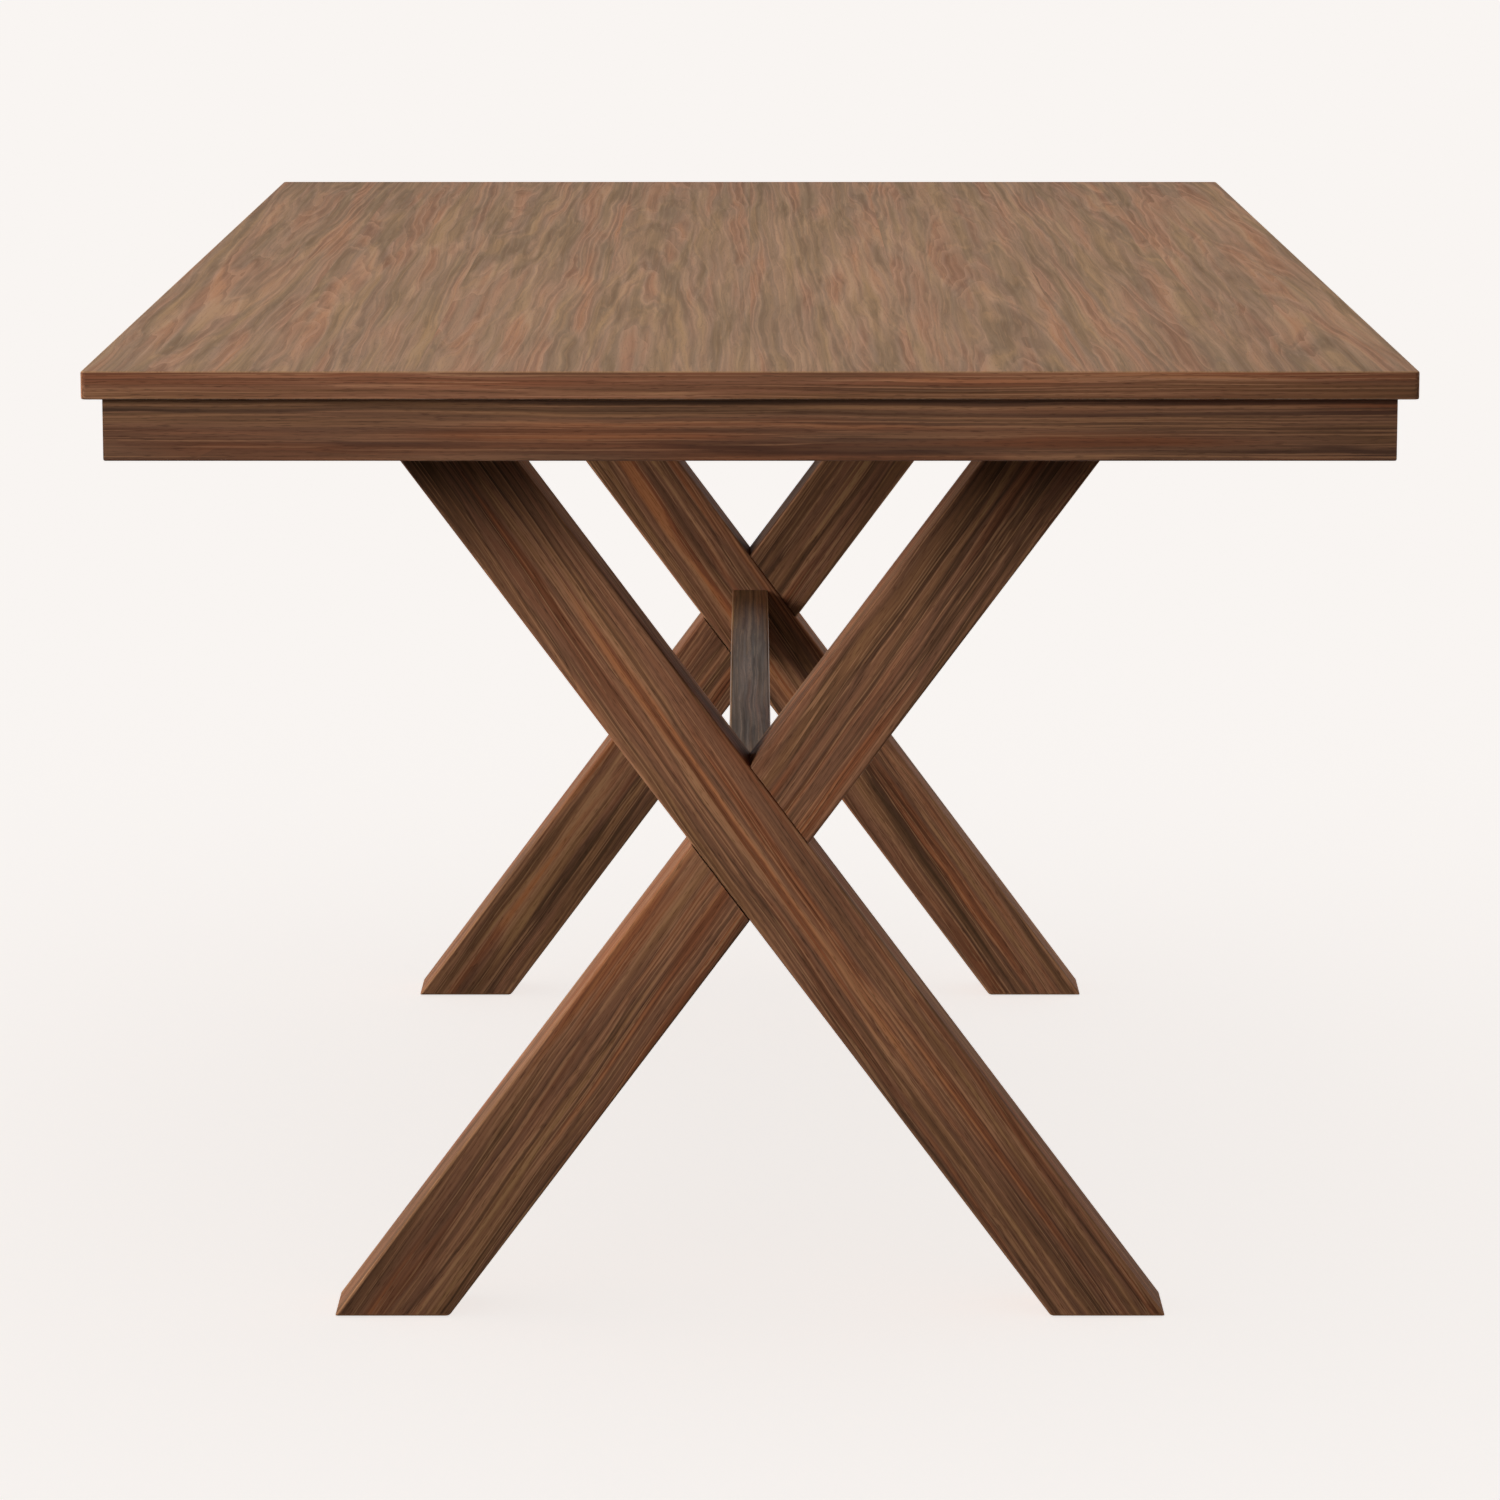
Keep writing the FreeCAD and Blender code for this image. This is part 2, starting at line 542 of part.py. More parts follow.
for side, y in (("front", "-"), ("rear", "+")):
    batten = bar(f"{side.title()}Batten", BATTEN_LENGTH, "batten_width", "batten_thickness")
    place(batten, y=f"{y}{FRAME_Y} - batten_width / 2", z=LEG_TOP)
    piece(cut(batten, bolt_holes, leg_dowel_holes, leg_screw_holes), f"{side}_batten")

# Stretcher between the crossings, with an access pocket open below each hanger nut
half_rail, rail_low = "stretcher_width / 2", "(crossing_height - stretcher_height / 2)"
rail_high = "(crossing_height + stretcher_height / 2)"
section = [(f"-{half_rail}", rail_low), (half_rail, rail_low),
           (half_rail, rail_high), (f"-{half_rail}", rail_high)]
rail = prism("Stretcher", "XZ_Plane", section, f"2 * {RAIL_Y}", symmetric=True)
round_edges(rail, "stretcher_edge_radius", lambda middle, along: abs(along.y) > abs(along.x) + abs(along.z))
pocket = doc.addObject("Part::Box", "NutPocket")
bind(pocket, Length="pocket_width", Width="pocket_length",
     Height="stretcher_height / 2 + pocket_rise + cut_overrun")
pocket_spots = [("-pocket_width / 2", start, f"{rail_low} - cut_overrun")
                for start in (f"{RAIL_Y} - pocket_offset - pocket_length", f"pocket_offset - {RAIL_Y}")]
pockets = group("NutPockets", pocket, pocket_spots)
piece(cut(rail, pockets, hanger_holes, rail_dowel_holes), "stretcher")

doc.recompute()
for obj in doc.Objects:
    if {"Invalid", "Error"} & set(obj.State):
        raise ValueError(f"{obj.Label} failed: {obj.State}")
for obj in pieces:
    if obj.Shape.isNull() or not obj.Shape.isValid() or not obj.Shape.Solids:
        raise ValueError(f"{obj.Label} has no sound shape")

os.makedirs("parts", exist_ok=True)
for obj in pieces:
    obj.Shape.exportStep(f"parts/{obj.Label}.step")
solids = sum(len(obj.Shape.Solids) for obj in pieces)
print(f"{len(pieces)} pieces, {solids} solids")
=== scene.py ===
# %% [markdown]
# # A walnut dining table on crossed legs
# This lesson dresses a finished CAD model. The CAD model gives every size, so no board is fitted by
# eye: each is drawn again between the corners that the CAD gives, with softer edges and with grain that
# runs along it. X runs across the table, Y along it and Z up, in metres.

# %% Load the CAD model as a fixed frame
import math

import bmesh
import bpy
from mathutils import Matrix, Vector


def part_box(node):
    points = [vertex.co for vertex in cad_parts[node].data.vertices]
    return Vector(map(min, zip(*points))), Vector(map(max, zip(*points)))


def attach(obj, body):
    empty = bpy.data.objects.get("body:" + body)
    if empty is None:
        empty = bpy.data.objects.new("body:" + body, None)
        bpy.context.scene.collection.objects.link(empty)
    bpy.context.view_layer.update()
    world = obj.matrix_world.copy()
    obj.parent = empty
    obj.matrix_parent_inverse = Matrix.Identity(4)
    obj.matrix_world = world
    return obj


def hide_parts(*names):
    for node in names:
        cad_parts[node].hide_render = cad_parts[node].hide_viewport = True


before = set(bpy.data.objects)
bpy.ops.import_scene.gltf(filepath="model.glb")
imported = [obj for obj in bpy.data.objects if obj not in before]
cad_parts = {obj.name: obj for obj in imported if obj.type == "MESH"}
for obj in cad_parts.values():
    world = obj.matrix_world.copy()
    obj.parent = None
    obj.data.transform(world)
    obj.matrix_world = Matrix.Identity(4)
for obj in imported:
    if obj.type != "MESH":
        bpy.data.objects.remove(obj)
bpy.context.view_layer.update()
MM = 0.001
print("CAD nodes:", len(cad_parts))

# %% [markdown]
# ## Small helpers for finishes
# Colours are written as the sRGB values that a paint chart or a photograph shows. Blender mixes light
# in linear values, so one function turns them over. The next function adds one node, gives it its
# settings and joins it to the nodes before it, so that a whole finish reads like a recipe. Nodes could
# be placed by hand in the editor instead, but a recipe in text can be read, compared and run again.


# %% Colour and node helpers
def linear(code):
    """Turn an sRGB hex code into linear RGBA."""
    channels = [int(code[place:place + 2], 16) / 255 for place in (1, 3, 5)]
    return tuple(c / 12.92 if c <= 0.04045 else ((c + 0.055) / 1.055) ** 2.4 for c in channels) + (1.0,)


def add(tree, kind, inputs=None, stops=(), **settings):
    """Add a node. An input is a plain value, another node's output or a list of outputs."""
    node = tree.nodes.new(kind)
    for name, value in settings.items():
        setattr(node, name, value)
    for place, value in (inputs or {}).items():
        if isinstance(value, (list, bpy.types.NodeSocket)):
            for output in value if isinstance(value, list) else [value]:
                tree.links.new(output, node.inputs[place])
        else:
            node.inputs[place].default_value = value
    for number, (position, code) in enumerate(stops):
        ends = node.color_ramp.elements
        stop = ends[number] if number < len(ends) else ends.new(position)
        stop.position, stop.color = position, linear(code)
    return node


def new_finish(name):
    """An empty material and its node tree."""
    material = bpy.data.materials.new(name)
    material.use_nodes = True
    material.node_tree.nodes.clear()
    return material, material.node_tree


print("mid grey as linear:", linear("#808080"))

# %% [markdown]
# ## Grain that follows the board
# A board is a stack of growth rings seen from the side. Each board of walnut below carries its own
# coordinates in an attribute named grain: millimetres along it, across it and through it, measured
# from the heart of the tree it was sawn from. A hidden CAD piece has no such attribute, so there the
# finish starts from Object coordinates, which a Mapping node turns until X runs along the piece. No
# stem is quite straight, so noises drawn out along the board bend the coordinates a little. Lines
# painted on each face would be quicker, but they would not meet at the arrises.


# %% Grain coordinates
HIDDEN_HEART = (0, 37, 61)
SWAY, WAVER = (650, 170, 1.0), (120, 26, 2.0)


def drawn_out(tree, board, size, stretch, roughness=0.5):
    """A noise along the board, its size given as length and width in millimetres and its detail."""
    length, width, detail = size
    scale = (1 / length / stretch, 1 / width, 1 / width)
    place = add(tree, "ShaderNodeVectorMath", {0: board, 1: scale}, operation="MULTIPLY")
    return add(tree, "ShaderNodeTexNoise", {"Vector": place.outputs[0], "Scale": 1.0, "Detail": detail,
                                            "Roughness": roughness}).outputs


def bent_board(tree, sway, curl, stretch, turn):
    """Millimetres from the heart, bent by a slow sway and by a shorter waver on top of it."""
    if turn is None:
        board = add(tree, "ShaderNodeAttribute", attribute_name="grain").outputs["Vector"]
    else:
        place = add(tree, "ShaderNodeTexCoord").outputs["Object"]
        board = add(tree, "ShaderNodeMapping",
                    {"Vector": place, "Location": HIDDEN_HEART, "Scale": (1 / MM,) * 3,
                     "Rotation": tuple(map(math.radians, turn))}).outputs[0]
    for size, reach in ((SWAY, (0, sway, 2 * sway)), (WAVER, (0, curl, curl))):
        swing = drawn_out(tree, board, size, stretch)["Color"]
        board = add(tree, "ShaderNodeVectorMath", {0: swing, 1: reach, 2: board},
                    operation="MULTIPLY_ADD").outputs[0]
    return board


print("sway and waver, mm along and across:", SWAY[:2], WAVER[:2])

# %% [markdown]
# ## Rings, bands and pores
# The distance from the heart, counted in rings, looks up how dark each ring is, and each year's growth
# ends in a fine line, dark on most boards and pale on the flat-cut top. Broad bands, streaks, hairs and
# pores are more noises drawn out along the board. Flat faces then show long arches, quarter faces show
# straight lines, and both meet at the edges as they do in real wood. A wave texture would draw rings
# too, but all of them alike.


# %% Wood colour
RING_SHARE, BAND_SHARE, STREAK_SHARE = 0.30, 0.36, 0.34
SHADE_STOPS = (0.39, 0.47, 0.53, 0.62)
PORE_BROWN = "#2E1C12"


def wood_colour(tree, board, shades, hues, ring, streak, stretch, lines, late_growth, depth):
    """The colour of every spot of a board, the noises behind it and the mask of its pores."""
    # Distance from the heart, in rings; each ring has its own depth of colour.
    level = add(tree, "ShaderNodeVectorMath", {0: board, 1: (0, 1 / ring, 1 / ring)}, operation="MULTIPLY")
    level = add(tree, "ShaderNodeVectorMath", {0: level.outputs[0]}, operation="LENGTH").outputs["Value"]
    rings = add(tree, "ShaderNodeTexNoise", {"W": level, "Scale": 1.0, "Detail": 3.0, "Roughness": 0.6},
                noise_dimensions="1D").outputs["Fac"]
    late = add(tree, "ShaderNodeMath", {0: level}, operation="FRACT").outputs[0]
    # Bands are 26 mm wide and zones of hue 16 mm, all drawn out along the board. Real hairs and pores
    # are a fifth of a millimetre wide, too fine to show, so they are drawn about 1 mm wide.
    sizes = {"bands": (260, 26, 2.0), "zones": (260, 16, 1.0), "streaks": (260, streak, 3.0),
             "hairs": (300, 1.4, 0.0), "pores": (9, 0.7, 1.0)}
    noises = {part: drawn_out(tree, board, size, stretch, roughness=0.55)["Fac"]
              for part, size in sizes.items()}
    # The shade of a spot is its ring, its band and its streak together.
    shade = add(tree, "ShaderNodeMath", {0: rings, 1: RING_SHARE}, operation="MULTIPLY").outputs[0]
    for part, share in (("bands", BAND_SHARE), ("streaks", STREAK_SHARE)):
        shade = add(tree, "ShaderNodeMath", {0: noises[part], 1: share, 2: shade},
                    operation="MULTIPLY_ADD").outputs[0]
    colour = add(tree, "ShaderNodeValToRGB", {"Fac": shade}, stops=zip(SHADE_STOPS, shades)).outputs[0]
    # Each mask grows from nothing at one value of its noise to its full strength at another. Some zones
    # are redder and some more olive; a few hairs are paler, and open pores are dark.
    reaches = {"line": (late, 0.55, 1.0, lines), "clear": (noises["zones"], 0.40, 0.58, 1.0),
               "red": (noises["zones"], 0.5, 0.65, 1.0), "olive": (noises["zones"], 0.5, 0.35, 1.0),
               "hair": (noises["hairs"], 0.60, 0.74, 0.6 * depth),
               "pore": (noises["pores"], 0.42, 0.30, 0.45 * depth)}
    masks = {part: add(tree, "ShaderNodeMapRange", {"Value": value, "From Min": start, "From Max": end,
                                                    "To Max": full}).outputs[0]
             for part, (value, start, end, full) in reaches.items()}
    # The line of the year's last growth is clearer in some zones than in others.
    masks["line"] = add(tree, "ShaderNodeMath", {0: masks["line"], 1: masks["clear"]},
                        operation="MULTIPLY").outputs[0]
    # Inputs 6 and 7 of a Mix node are its two colours, and output 2 is the colour they make.
    for part, code, blend in (("red", hues[0], "MULTIPLY"), ("olive", hues[1], "MULTIPLY"),
                              ("line", late_growth, "MIX"), ("hair", shades[3], "MIX"),
                              ("pore", PORE_BROWN, "MIX")):
        colour = add(tree, "ShaderNodeMix", {0: masks[part], 6: colour, 7: linear(code)},
                     data_type="RGBA", blend_type=blend).outputs[2]
    return colour, noises, masks["pore"]


print("shares of ring, band and streak:", RING_SHARE, BAND_SHARE, STREAK_SHARE)

# %% [markdown]
# ## Satin lacquer on top
# The lacquer fills the pores, so the bump stays low and the gloss is broad and a little uneven. The arrises
# are painted slightly paler, partly as a painted highlight and partly as polish from hands and cloths. A
# separate clear coat could be laid over the wood, but a satin coat is so thin and dull that one layer of
# gloss gives the same look.


# %% Wood finish
UNEVEN = 0.06


def wood(name, shades, ring, sway, curl, stretch, rough, streak=5.0, lines=0.4, late_growth="#4A3426",
         hues=("#FFE4D2", "#E8EBE0"), depth=1.0, gloss=0.12, turn=None):
    """Wood from four shades, dark to light, with lines of late growth and zones of two hues.

    Ring, sway, curl and streak are in millimetres.
    """
    material, tree = new_finish(name)
    board = bent_board(tree, sway, curl, stretch, turn)
    colour, noises, pore = wood_colour(tree, board, shades, hues, ring, streak, stretch, lines, late_growth,
                                       depth)
    # The arrises are painted slightly paler: partly a painted highlight, partly polish from hands and cloths.
    arris = add(tree, "ShaderNodeAttribute", attribute_name="arris").outputs["Fac"]
    arris = add(tree, "ShaderNodeMath", {0: arris, 1: noises["hairs"]}, operation="MULTIPLY")
    colour = add(tree, "ShaderNodeMix", {0: arris.outputs[0], 6: colour, 7: linear(shades[3])},
                 data_type="RGBA").outputs[2]
    relief = add(tree, "ShaderNodeMath", {0: noises["hairs"], 1: pore}, operation="SUBTRACT")
    bump = add(tree, "ShaderNodeBump", {"Height": relief.outputs[0], "Strength": 0.2, "Distance": 0.1 * MM})
    satin = add(tree, "ShaderNodeMapRange", {"Value": noises["streaks"], "From Min": 0.3, "From Max": 0.7,
                                             "To Min": rough + UNEVEN, "To Max": rough - UNEVEN})
    lacquer = add(tree, "ShaderNodeBsdfPrincipled",
                  {"Base Color": colour, "Roughness": satin.outputs[0],
                   "Specular IOR Level": gloss, "IOR": 1.5, "Normal": bump.outputs[0]})
    add(tree, "ShaderNodeOutputMaterial", {"Surface": lacquer.outputs[0]})
    return material


# %% [markdown]
# ## One species, five cuts
# The table is walnut throughout, but each kind of board is sawn in its own way and rubbed to its own
# shine. The one recipe makes them all, with other shades, widths and gloss. A single finish would be
# simpler, but then the legs and the top would look as if cut from the same sheet.

# %% Walnut finishes
# The veneer is cut flat, so the eye gets wide arches of pale wavy lines, red and olive zones and a dull
# even shine.
top_walnut = wood("Flat sliced walnut veneer, satin lacquer", ("#70533B", "#7C5E45", "#87664B", "#9A7554"),
                  ring=4.2, sway=8, curl=15, stretch=2.8, rough=0.65, hues=("#FFE9DB", "#ECEDDC"),
                  depth=0.5, lines=0.36, late_growth="#B58A6B", gloss=0.1)
# Lipping and apron are sawn along the grain: close straight lines, red-brown, the apron a tone darker.
edge_walnut = wood("Walnut lipping, satin lacquer", ("#523827", "#6E4832", "#7D533C", "#9C6F50"),
                   ring=2.4, sway=3, curl=4, stretch=1.3, rough=0.6)
apron_walnut = wood("Walnut apron board, satin lacquer", ("#442D21", "#5F412F", "#6F4C37", "#8E6447"),
                    ring=2.4, sway=3, curl=4, stretch=1.3, rough=0.6)
# Leg timber is sawn thicker and rubbed matt: dark streaks that run out at the edges, hardly any shine.
leg_walnut = wood("Walnut leg timber, matt lacquer", ("#583E2E", "#79543F", "#8C6047", "#AC7D59"),
                  ring=3.2, sway=9, curl=6.5, stretch=1.2, streak=2.6, rough=0.6, gloss=0.015)
# The rail keeps a smoother coat, so its upper side takes on a grey sheen when seen from a low angle. Its
# shades are darker than the legs' as painted shade, for the rail lies in shade under the table between the
# crossed legs.
rail_walnut = wood("Walnut stretcher rail, satin lacquer", ("#4D3525", "#664933", "#75533A", "#8E6A48"),
                   ring=3.2, sway=9, curl=6.5, stretch=1.2, streak=2.6, rough=0.34, gloss=0.015)
walnuts = (top_walnut, edge_walnut, apron_walnut, leg_walnut, rail_walnut)
print("walnut finishes:", [finish.name for finish in walnuts])

# %% [markdown]
# ## Cutting a board
# Every board of this table is a prism: one outline and a second one facing it. The functions below skin the
# two outlines, round the long edges with a small bevel, and mark the points in the middle of each rounded
# edge, which the finish paints slightly paler, partly as a painted highlight and partly as polish. A bevel
# modifier would round the edges as well, but the marked points are easiest to find right after bmesh has made
# them.


# %% Skin and ease
def skin(low, high):
    """A closed prism between two outlines with as many corners each."""
    shell = bmesh.new()
    rings = [[shell.verts.new(corner) for corner in outline] for outline in (low, high)]
    shell.faces.new(reversed(rings[0]))
    shell.faces.new(rings[1])
    for here in range(len(low)):
        there = (here + 1) % len(low)
        shell.faces.new((rings[0][here], rings[0][there], rings[1][there], rings[1][here]))
    bmesh.ops.recalc_face_normals(shell, faces=shell.faces)
    shell.verts.layers.float.new("arris")
    return shell


def ease(shell, radius, wanted, steps=3):
    """Round the edges that pass a test of their middle and direction."""
    chosen = [edge for edge in shell.edges if wanted(
        (edge.verts[0].co + edge.verts[1].co) / 2, (edge.verts[1].co - edge.verts[0].co).normalized())]
    made = bmesh.ops.bevel(shell, geom=chosen, offset=radius, segments=steps, profile=0.5, affect="EDGES",
                           clamp_overlap=True)
    layer, rounded = shell.verts.layers.float["arris"], set(made["faces"])
    for vert in made["verts"]:
        if all(face in rounded for face in vert.link_faces):
            vert[layer] = 1.0


sample = skin([(0, 0, 0), (1, 0, 0), (1, 1, 0), (0, 1, 0)], [(0, 0, 1), (1, 0, 1), (1, 1, 1), (0, 1, 1)])
ease(sample, 0.1, lambda middle, way: abs(way.z) > 0.5)
print("faces of a sample block with four rounded edges:", len(sample.faces))
sample.free()

# %% [markdown]
# ## Grain and place
# A cut board becomes a piece of the table when it gets its own coordinates, so that the grain follows
# it however it leans, and takes the place of its CAD node. Only edges sharper than a limit stay hard,
# and weighted normals keep broad faces flat beside their rounded edges. Unwrapped texture maps are the
# usual way to lay grain on a board, but coordinates all through the wood match at every edge.


# %% Grain and place helpers
SHARP = math.radians(40)


def finished(node, shell, along, across, heart, material, name=None):
    """Turn a shell into a piece of the table, with its grain along a direction."""
    mesh = bpy.data.meshes.new(name or node)
    bmesh.ops.recalc_face_normals(shell, faces=shell.faces)
    for face in shell.faces:
        face.smooth = True
    for edge in shell.edges:
        edge.smooth = len(edge.link_faces) == 2 and edge.calc_face_angle() < SHARP
    # A bevel leaves points and faces in no fixed order, so they are numbered again by their places.
    for parts, place in ((shell.verts, lambda vert: tuple(vert.co)),
                         (shell.faces, lambda face: tuple(face.calc_center_median()))):
        for number, part in enumerate(sorted(parts, key=place)):
            part.index = number
        parts.sort()
    shell.to_mesh(mesh)
    shell.free()
    along, across = Vector(along).normalized(), Vector(across).normalized()
    axes = Matrix((along, across, along.cross(across)))
    low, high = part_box(node)
    spots = [axes @ (vert.co - (low + high) / 2) / MM + Vector(heart) for vert in mesh.vertices]
    grain = mesh.attributes.new("grain", "FLOAT_VECTOR", "POINT")
    grain.data.foreach_set("vector", [value for spot in spots for value in spot])
    mesh.materials.append(material)
    return placed(mesh.name, mesh, (node,))


def placed(name, mesh, nodes):
    """Put a finished mesh in the scene in place of CAD nodes."""
    piece = bpy.data.objects.new(name, mesh)
    bpy.context.scene.collection.objects.link(piece)
    weighted = piece.modifiers.new("Weighted normals", "WEIGHTED_NORMAL")
    weighted.keep_sharp = True
    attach(piece, "root")
    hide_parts(*nodes)
    print(f"{name}: {len(mesh.polygons)} faces")
    return piece


print("edges stay hard from", round(math.degrees(SHARP)), "degrees")

# %% [markdown]
# ## The table top
# The top is a panel with a solid lipping on each edge and a sheet of veneer on its face. All of them
# were flushed and rounded together after gluing, so they share one outside form. It is drawn once, and
# each layer is sawn out of a copy of it. Separate boxes would be simpler, but their rounded corners
# would not run on from one layer into the next.


# %% Outside form of the top
TOP_CORNER, TOP_EDGE = 4 * MM, 1.5 * MM
top_low, top_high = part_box("top_backing_veneer")[0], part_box("top_face_veneer")[1]


def plan(low, high, height):
    """The four corners of a rectangle at a height."""
    return [(low.x, low.y, height), (high.x, low.y, height),
            (high.x, high.y, height), (low.x, high.y, height)]


def top_form():
    """The outside form of the whole top, with its corners and edges eased."""
    shell = skin(plan(top_low, top_high, top_low.z), plan(top_low, top_high, top_high.z))
    ease(shell, TOP_CORNER, lambda middle, way: abs(way.z) > 0.5, steps=4)
    for vert in shell.verts:
        vert[shell.verts.layers.float["arris"]] = 0.0
    ease(shell, TOP_EDGE, lambda middle, way: abs(way.z) < 0.5)
    return shell


def saw(shell, point, normal):
    """Cut off what lies beyond a plane, and close the cut."""
    parts = shell.verts[:] + shell.edges[:] + shell.faces[:]
    bmesh.ops.bisect_plane(shell, geom=parts, plane_co=point, plane_no=normal, clear_outer=True)
    bmesh.ops.holes_fill(shell, edges=[edge for edge in shell.edges if edge.is_boundary], sides=0)


print("top:", [round(side / MM) for side in top_high - top_low], "mm")

# %% [markdown]
# ## Veneer in leaves
# The sheet is eight leaves of walnut laid side by side, lengthwise, and each leaf is the next slice of
# the same log turned over. So neighbouring leaves look alike but don't line up. The sheet is cut at
# the joints, and each leaf gets its own grain coordinates: where its heart lies, and a slow taper that
# opens the arches along the board. One mesh with a value for each face corner keeps the sheet whole.

# %% Face veneer
LEAF, TAPER = 117.5, 0.022
LOG_STEP, HEART_DEPTH, SLICE = 3700, 34, 4
hearts = (-16, 34, -58, 12, 70, -30, 48, -9)
veneer = top_form()
saw(veneer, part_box("top_face_veneer")[0], (0, 0, -1))
for number in range(1, len(hearts)):
    bmesh.ops.bisect_plane(veneer, geom=veneer.verts[:] + veneer.edges[:] + veneer.faces[:],
                           plane_co=(top_low.x + number * LEAF * MM, 0, 0), plane_no=(1, 0, 0))
top = finished("top_face_veneer", veneer, (0, 1, 0), (1, 0, 0), (0, 0, 0), top_walnut,
               name="table_top_veneer").data
top.attributes.remove(top.attributes["grain"])
grain = top.attributes.new("grain", "FLOAT_VECTOR", "CORNER")
for face in top.polygons:
    leaf = int((face.center.x - top_low.x) / MM // LEAF)
    centre, flip = top_low.x / MM + (leaf + 0.5) * LEAF, 1 if leaf % 2 else -1
    for loop in face.loop_indices:
        spot = top.vertices[top.loops[loop].vertex_index].co / MM
        depth = HEART_DEPTH + SLICE * leaf + flip * TAPER * spot.y + spot.z - top_high.z / MM
        grain.data[loop].vector = (spot.y + LOG_STEP * leaf, flip * (spot.x - centre) + hearts[leaf], depth)
print("veneer leaves:", len(hearts))

# %% [markdown]
# ## Lipping
# A strip of solid walnut closes each edge of the panel, mitred at the corners. Its grain runs along
# the edge, so the end of the table shows long lines across the whole width. It is sawn out of the same
# outside form as the veneer: a box of its own would have to be rounded again to match.

# %% Edge lippings
LIPPING, LIPPING_STEP, LIPPING_HEART = 6 * MM, 1900, (22, 34)
sides = {"front": (0, -1), "right": (1, 0), "rear": (0, 1), "left": (-1, 0)}
for number, (side, (x, y)) in enumerate(sides.items()):
    node = f"{side}_edge_lipping"
    low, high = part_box(node)
    out, run = Vector((x, y, 0)), Vector((-y, x, 0))
    reach, half = abs(top_high.dot(out)), abs(top_high.dot(run))
    strip = top_form()
    saw(strip, low, (0, 0, -1))
    saw(strip, high, (0, 0, 1))
    saw(strip, out * (reach - LIPPING), -out)
    for end in (1, -1):
        saw(strip, out * reach + run * end * half, run * end - out)
    heart = (LIPPING_STEP * number, *LIPPING_HEART)
    finished(node, strip, run, (0, 0, 1), heart, edge_walnut)

# %% [markdown]
# ## The aprons
# Four boards stand on edge under the top, mitred where they meet. They stiffen the panel and hide the
# battens. Only the lower edges are eased, because the upper ones are glued to the top. Plain boxes would
# overlap in the corners, so each board is drawn from an outline that has its two mitres.

# %% Aprons
APRON_EASE, APRON_THICK = 1.5 * MM, 18 * MM
APRON_STEP, APRON_HEART = 2300, (18, 40)
aprons = {"front": "front_end_apron", "right": "right_side_apron", "rear": "rear_end_apron",
          "left": "left_side_apron"}
for number, (side, node) in enumerate(aprons.items()):
    low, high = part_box(node)
    out, run = Vector((*sides[side], 0)), Vector((-sides[side][1], sides[side][0], 0))
    reach = max(low.dot(out), high.dot(out))
    half = max(abs(low.dot(run)), abs(high.dot(run)))
    outline = [out * reach - run * half, out * reach + run * half,
               out * (reach - APRON_THICK) + run * (half - APRON_THICK),
               out * (reach - APRON_THICK) - run * (half - APRON_THICK)]
    board = skin([corner + Vector((0, 0, low.z)) for corner in outline],
                 [corner + Vector((0, 0, high.z)) for corner in outline])
    ease(board, APRON_EASE, lambda middle, way: middle.z < low.z + MM and abs(way.dot(run)) > 0.9)
    heart = (APRON_STEP * number, *APRON_HEART)
    finished(node, board, run, (0, 0, 1), heart, apron_walnut)

# %% [markdown]
# ## The crossed legs
# Each X is two legs that lean by the same angle, one to each side. At the crossing, half the depth of
# each is cut away so that they lie flush. The leg that runs through keeps its rounded edges over the
# joint, so a fine dark groove shows along it. The notch could be part of the outline, but it is cut with
# a Boolean after the edges are eased, in the order in which a joiner works.

# %% Leaning strips and notches
CROSSING, FOOT_CENTRES = 371 * MM, 554 * MM
SLOPE = FOOT_CENTRES / 2 / CROSSING


def leaning(bottom, top, half, way):
    """The outline of a leaning strip between two heights, as X and Z."""
    low, high = (way * SLOPE * (CROSSING - height) for height in (bottom, top))
    return [(low - half, bottom), (low + half, bottom), (high + half, top), (high - half, top)]


def slab(strip, front, back):
    """A prism with an outline in X and Z, from front to back."""
    return skin([(x, front, z) for x, z in strip], [(x, back, z) for x, z in strip])


def carve(shell, tools):
    """Cut closed shapes out of a shell with a Boolean."""
    things = []
    for part in [shell] + tools:
        mesh = bpy.data.meshes.new("carving")
        part.to_mesh(mesh)
        things.append(bpy.data.objects.new("carving", mesh))
        bpy.context.scene.collection.objects.link(things[-1])
    for tool in things[1:]:
        cut = things[0].modifiers.new("Cut", "BOOLEAN")
        cut.object, cut.operation, cut.solver = tool, "DIFFERENCE", "EXACT"
    made = bpy.data.meshes.new_from_object(things[0].evaluated_get(bpy.context.evaluated_depsgraph_get()))
    shell.clear()
    shell.from_mesh(made)
    for thing in things:
        bpy.data.objects.remove(thing)


print("legs lean by", round(math.degrees(math.atan(SLOPE)), 1), "degrees")

# %% Legs
LEG_WIDTH, LEG_EASE, LAP_GAP, NOTCH_REACH = 71 * MM, 2.5 * MM, 0.5 * MM, 150 * MM
RUN_OUT = (0.045, -0.04, -0.035, 0.05)
LEG_HEART, LEG_STEP = Vector((0, 30, 52)), Vector((2700, -11, 6))
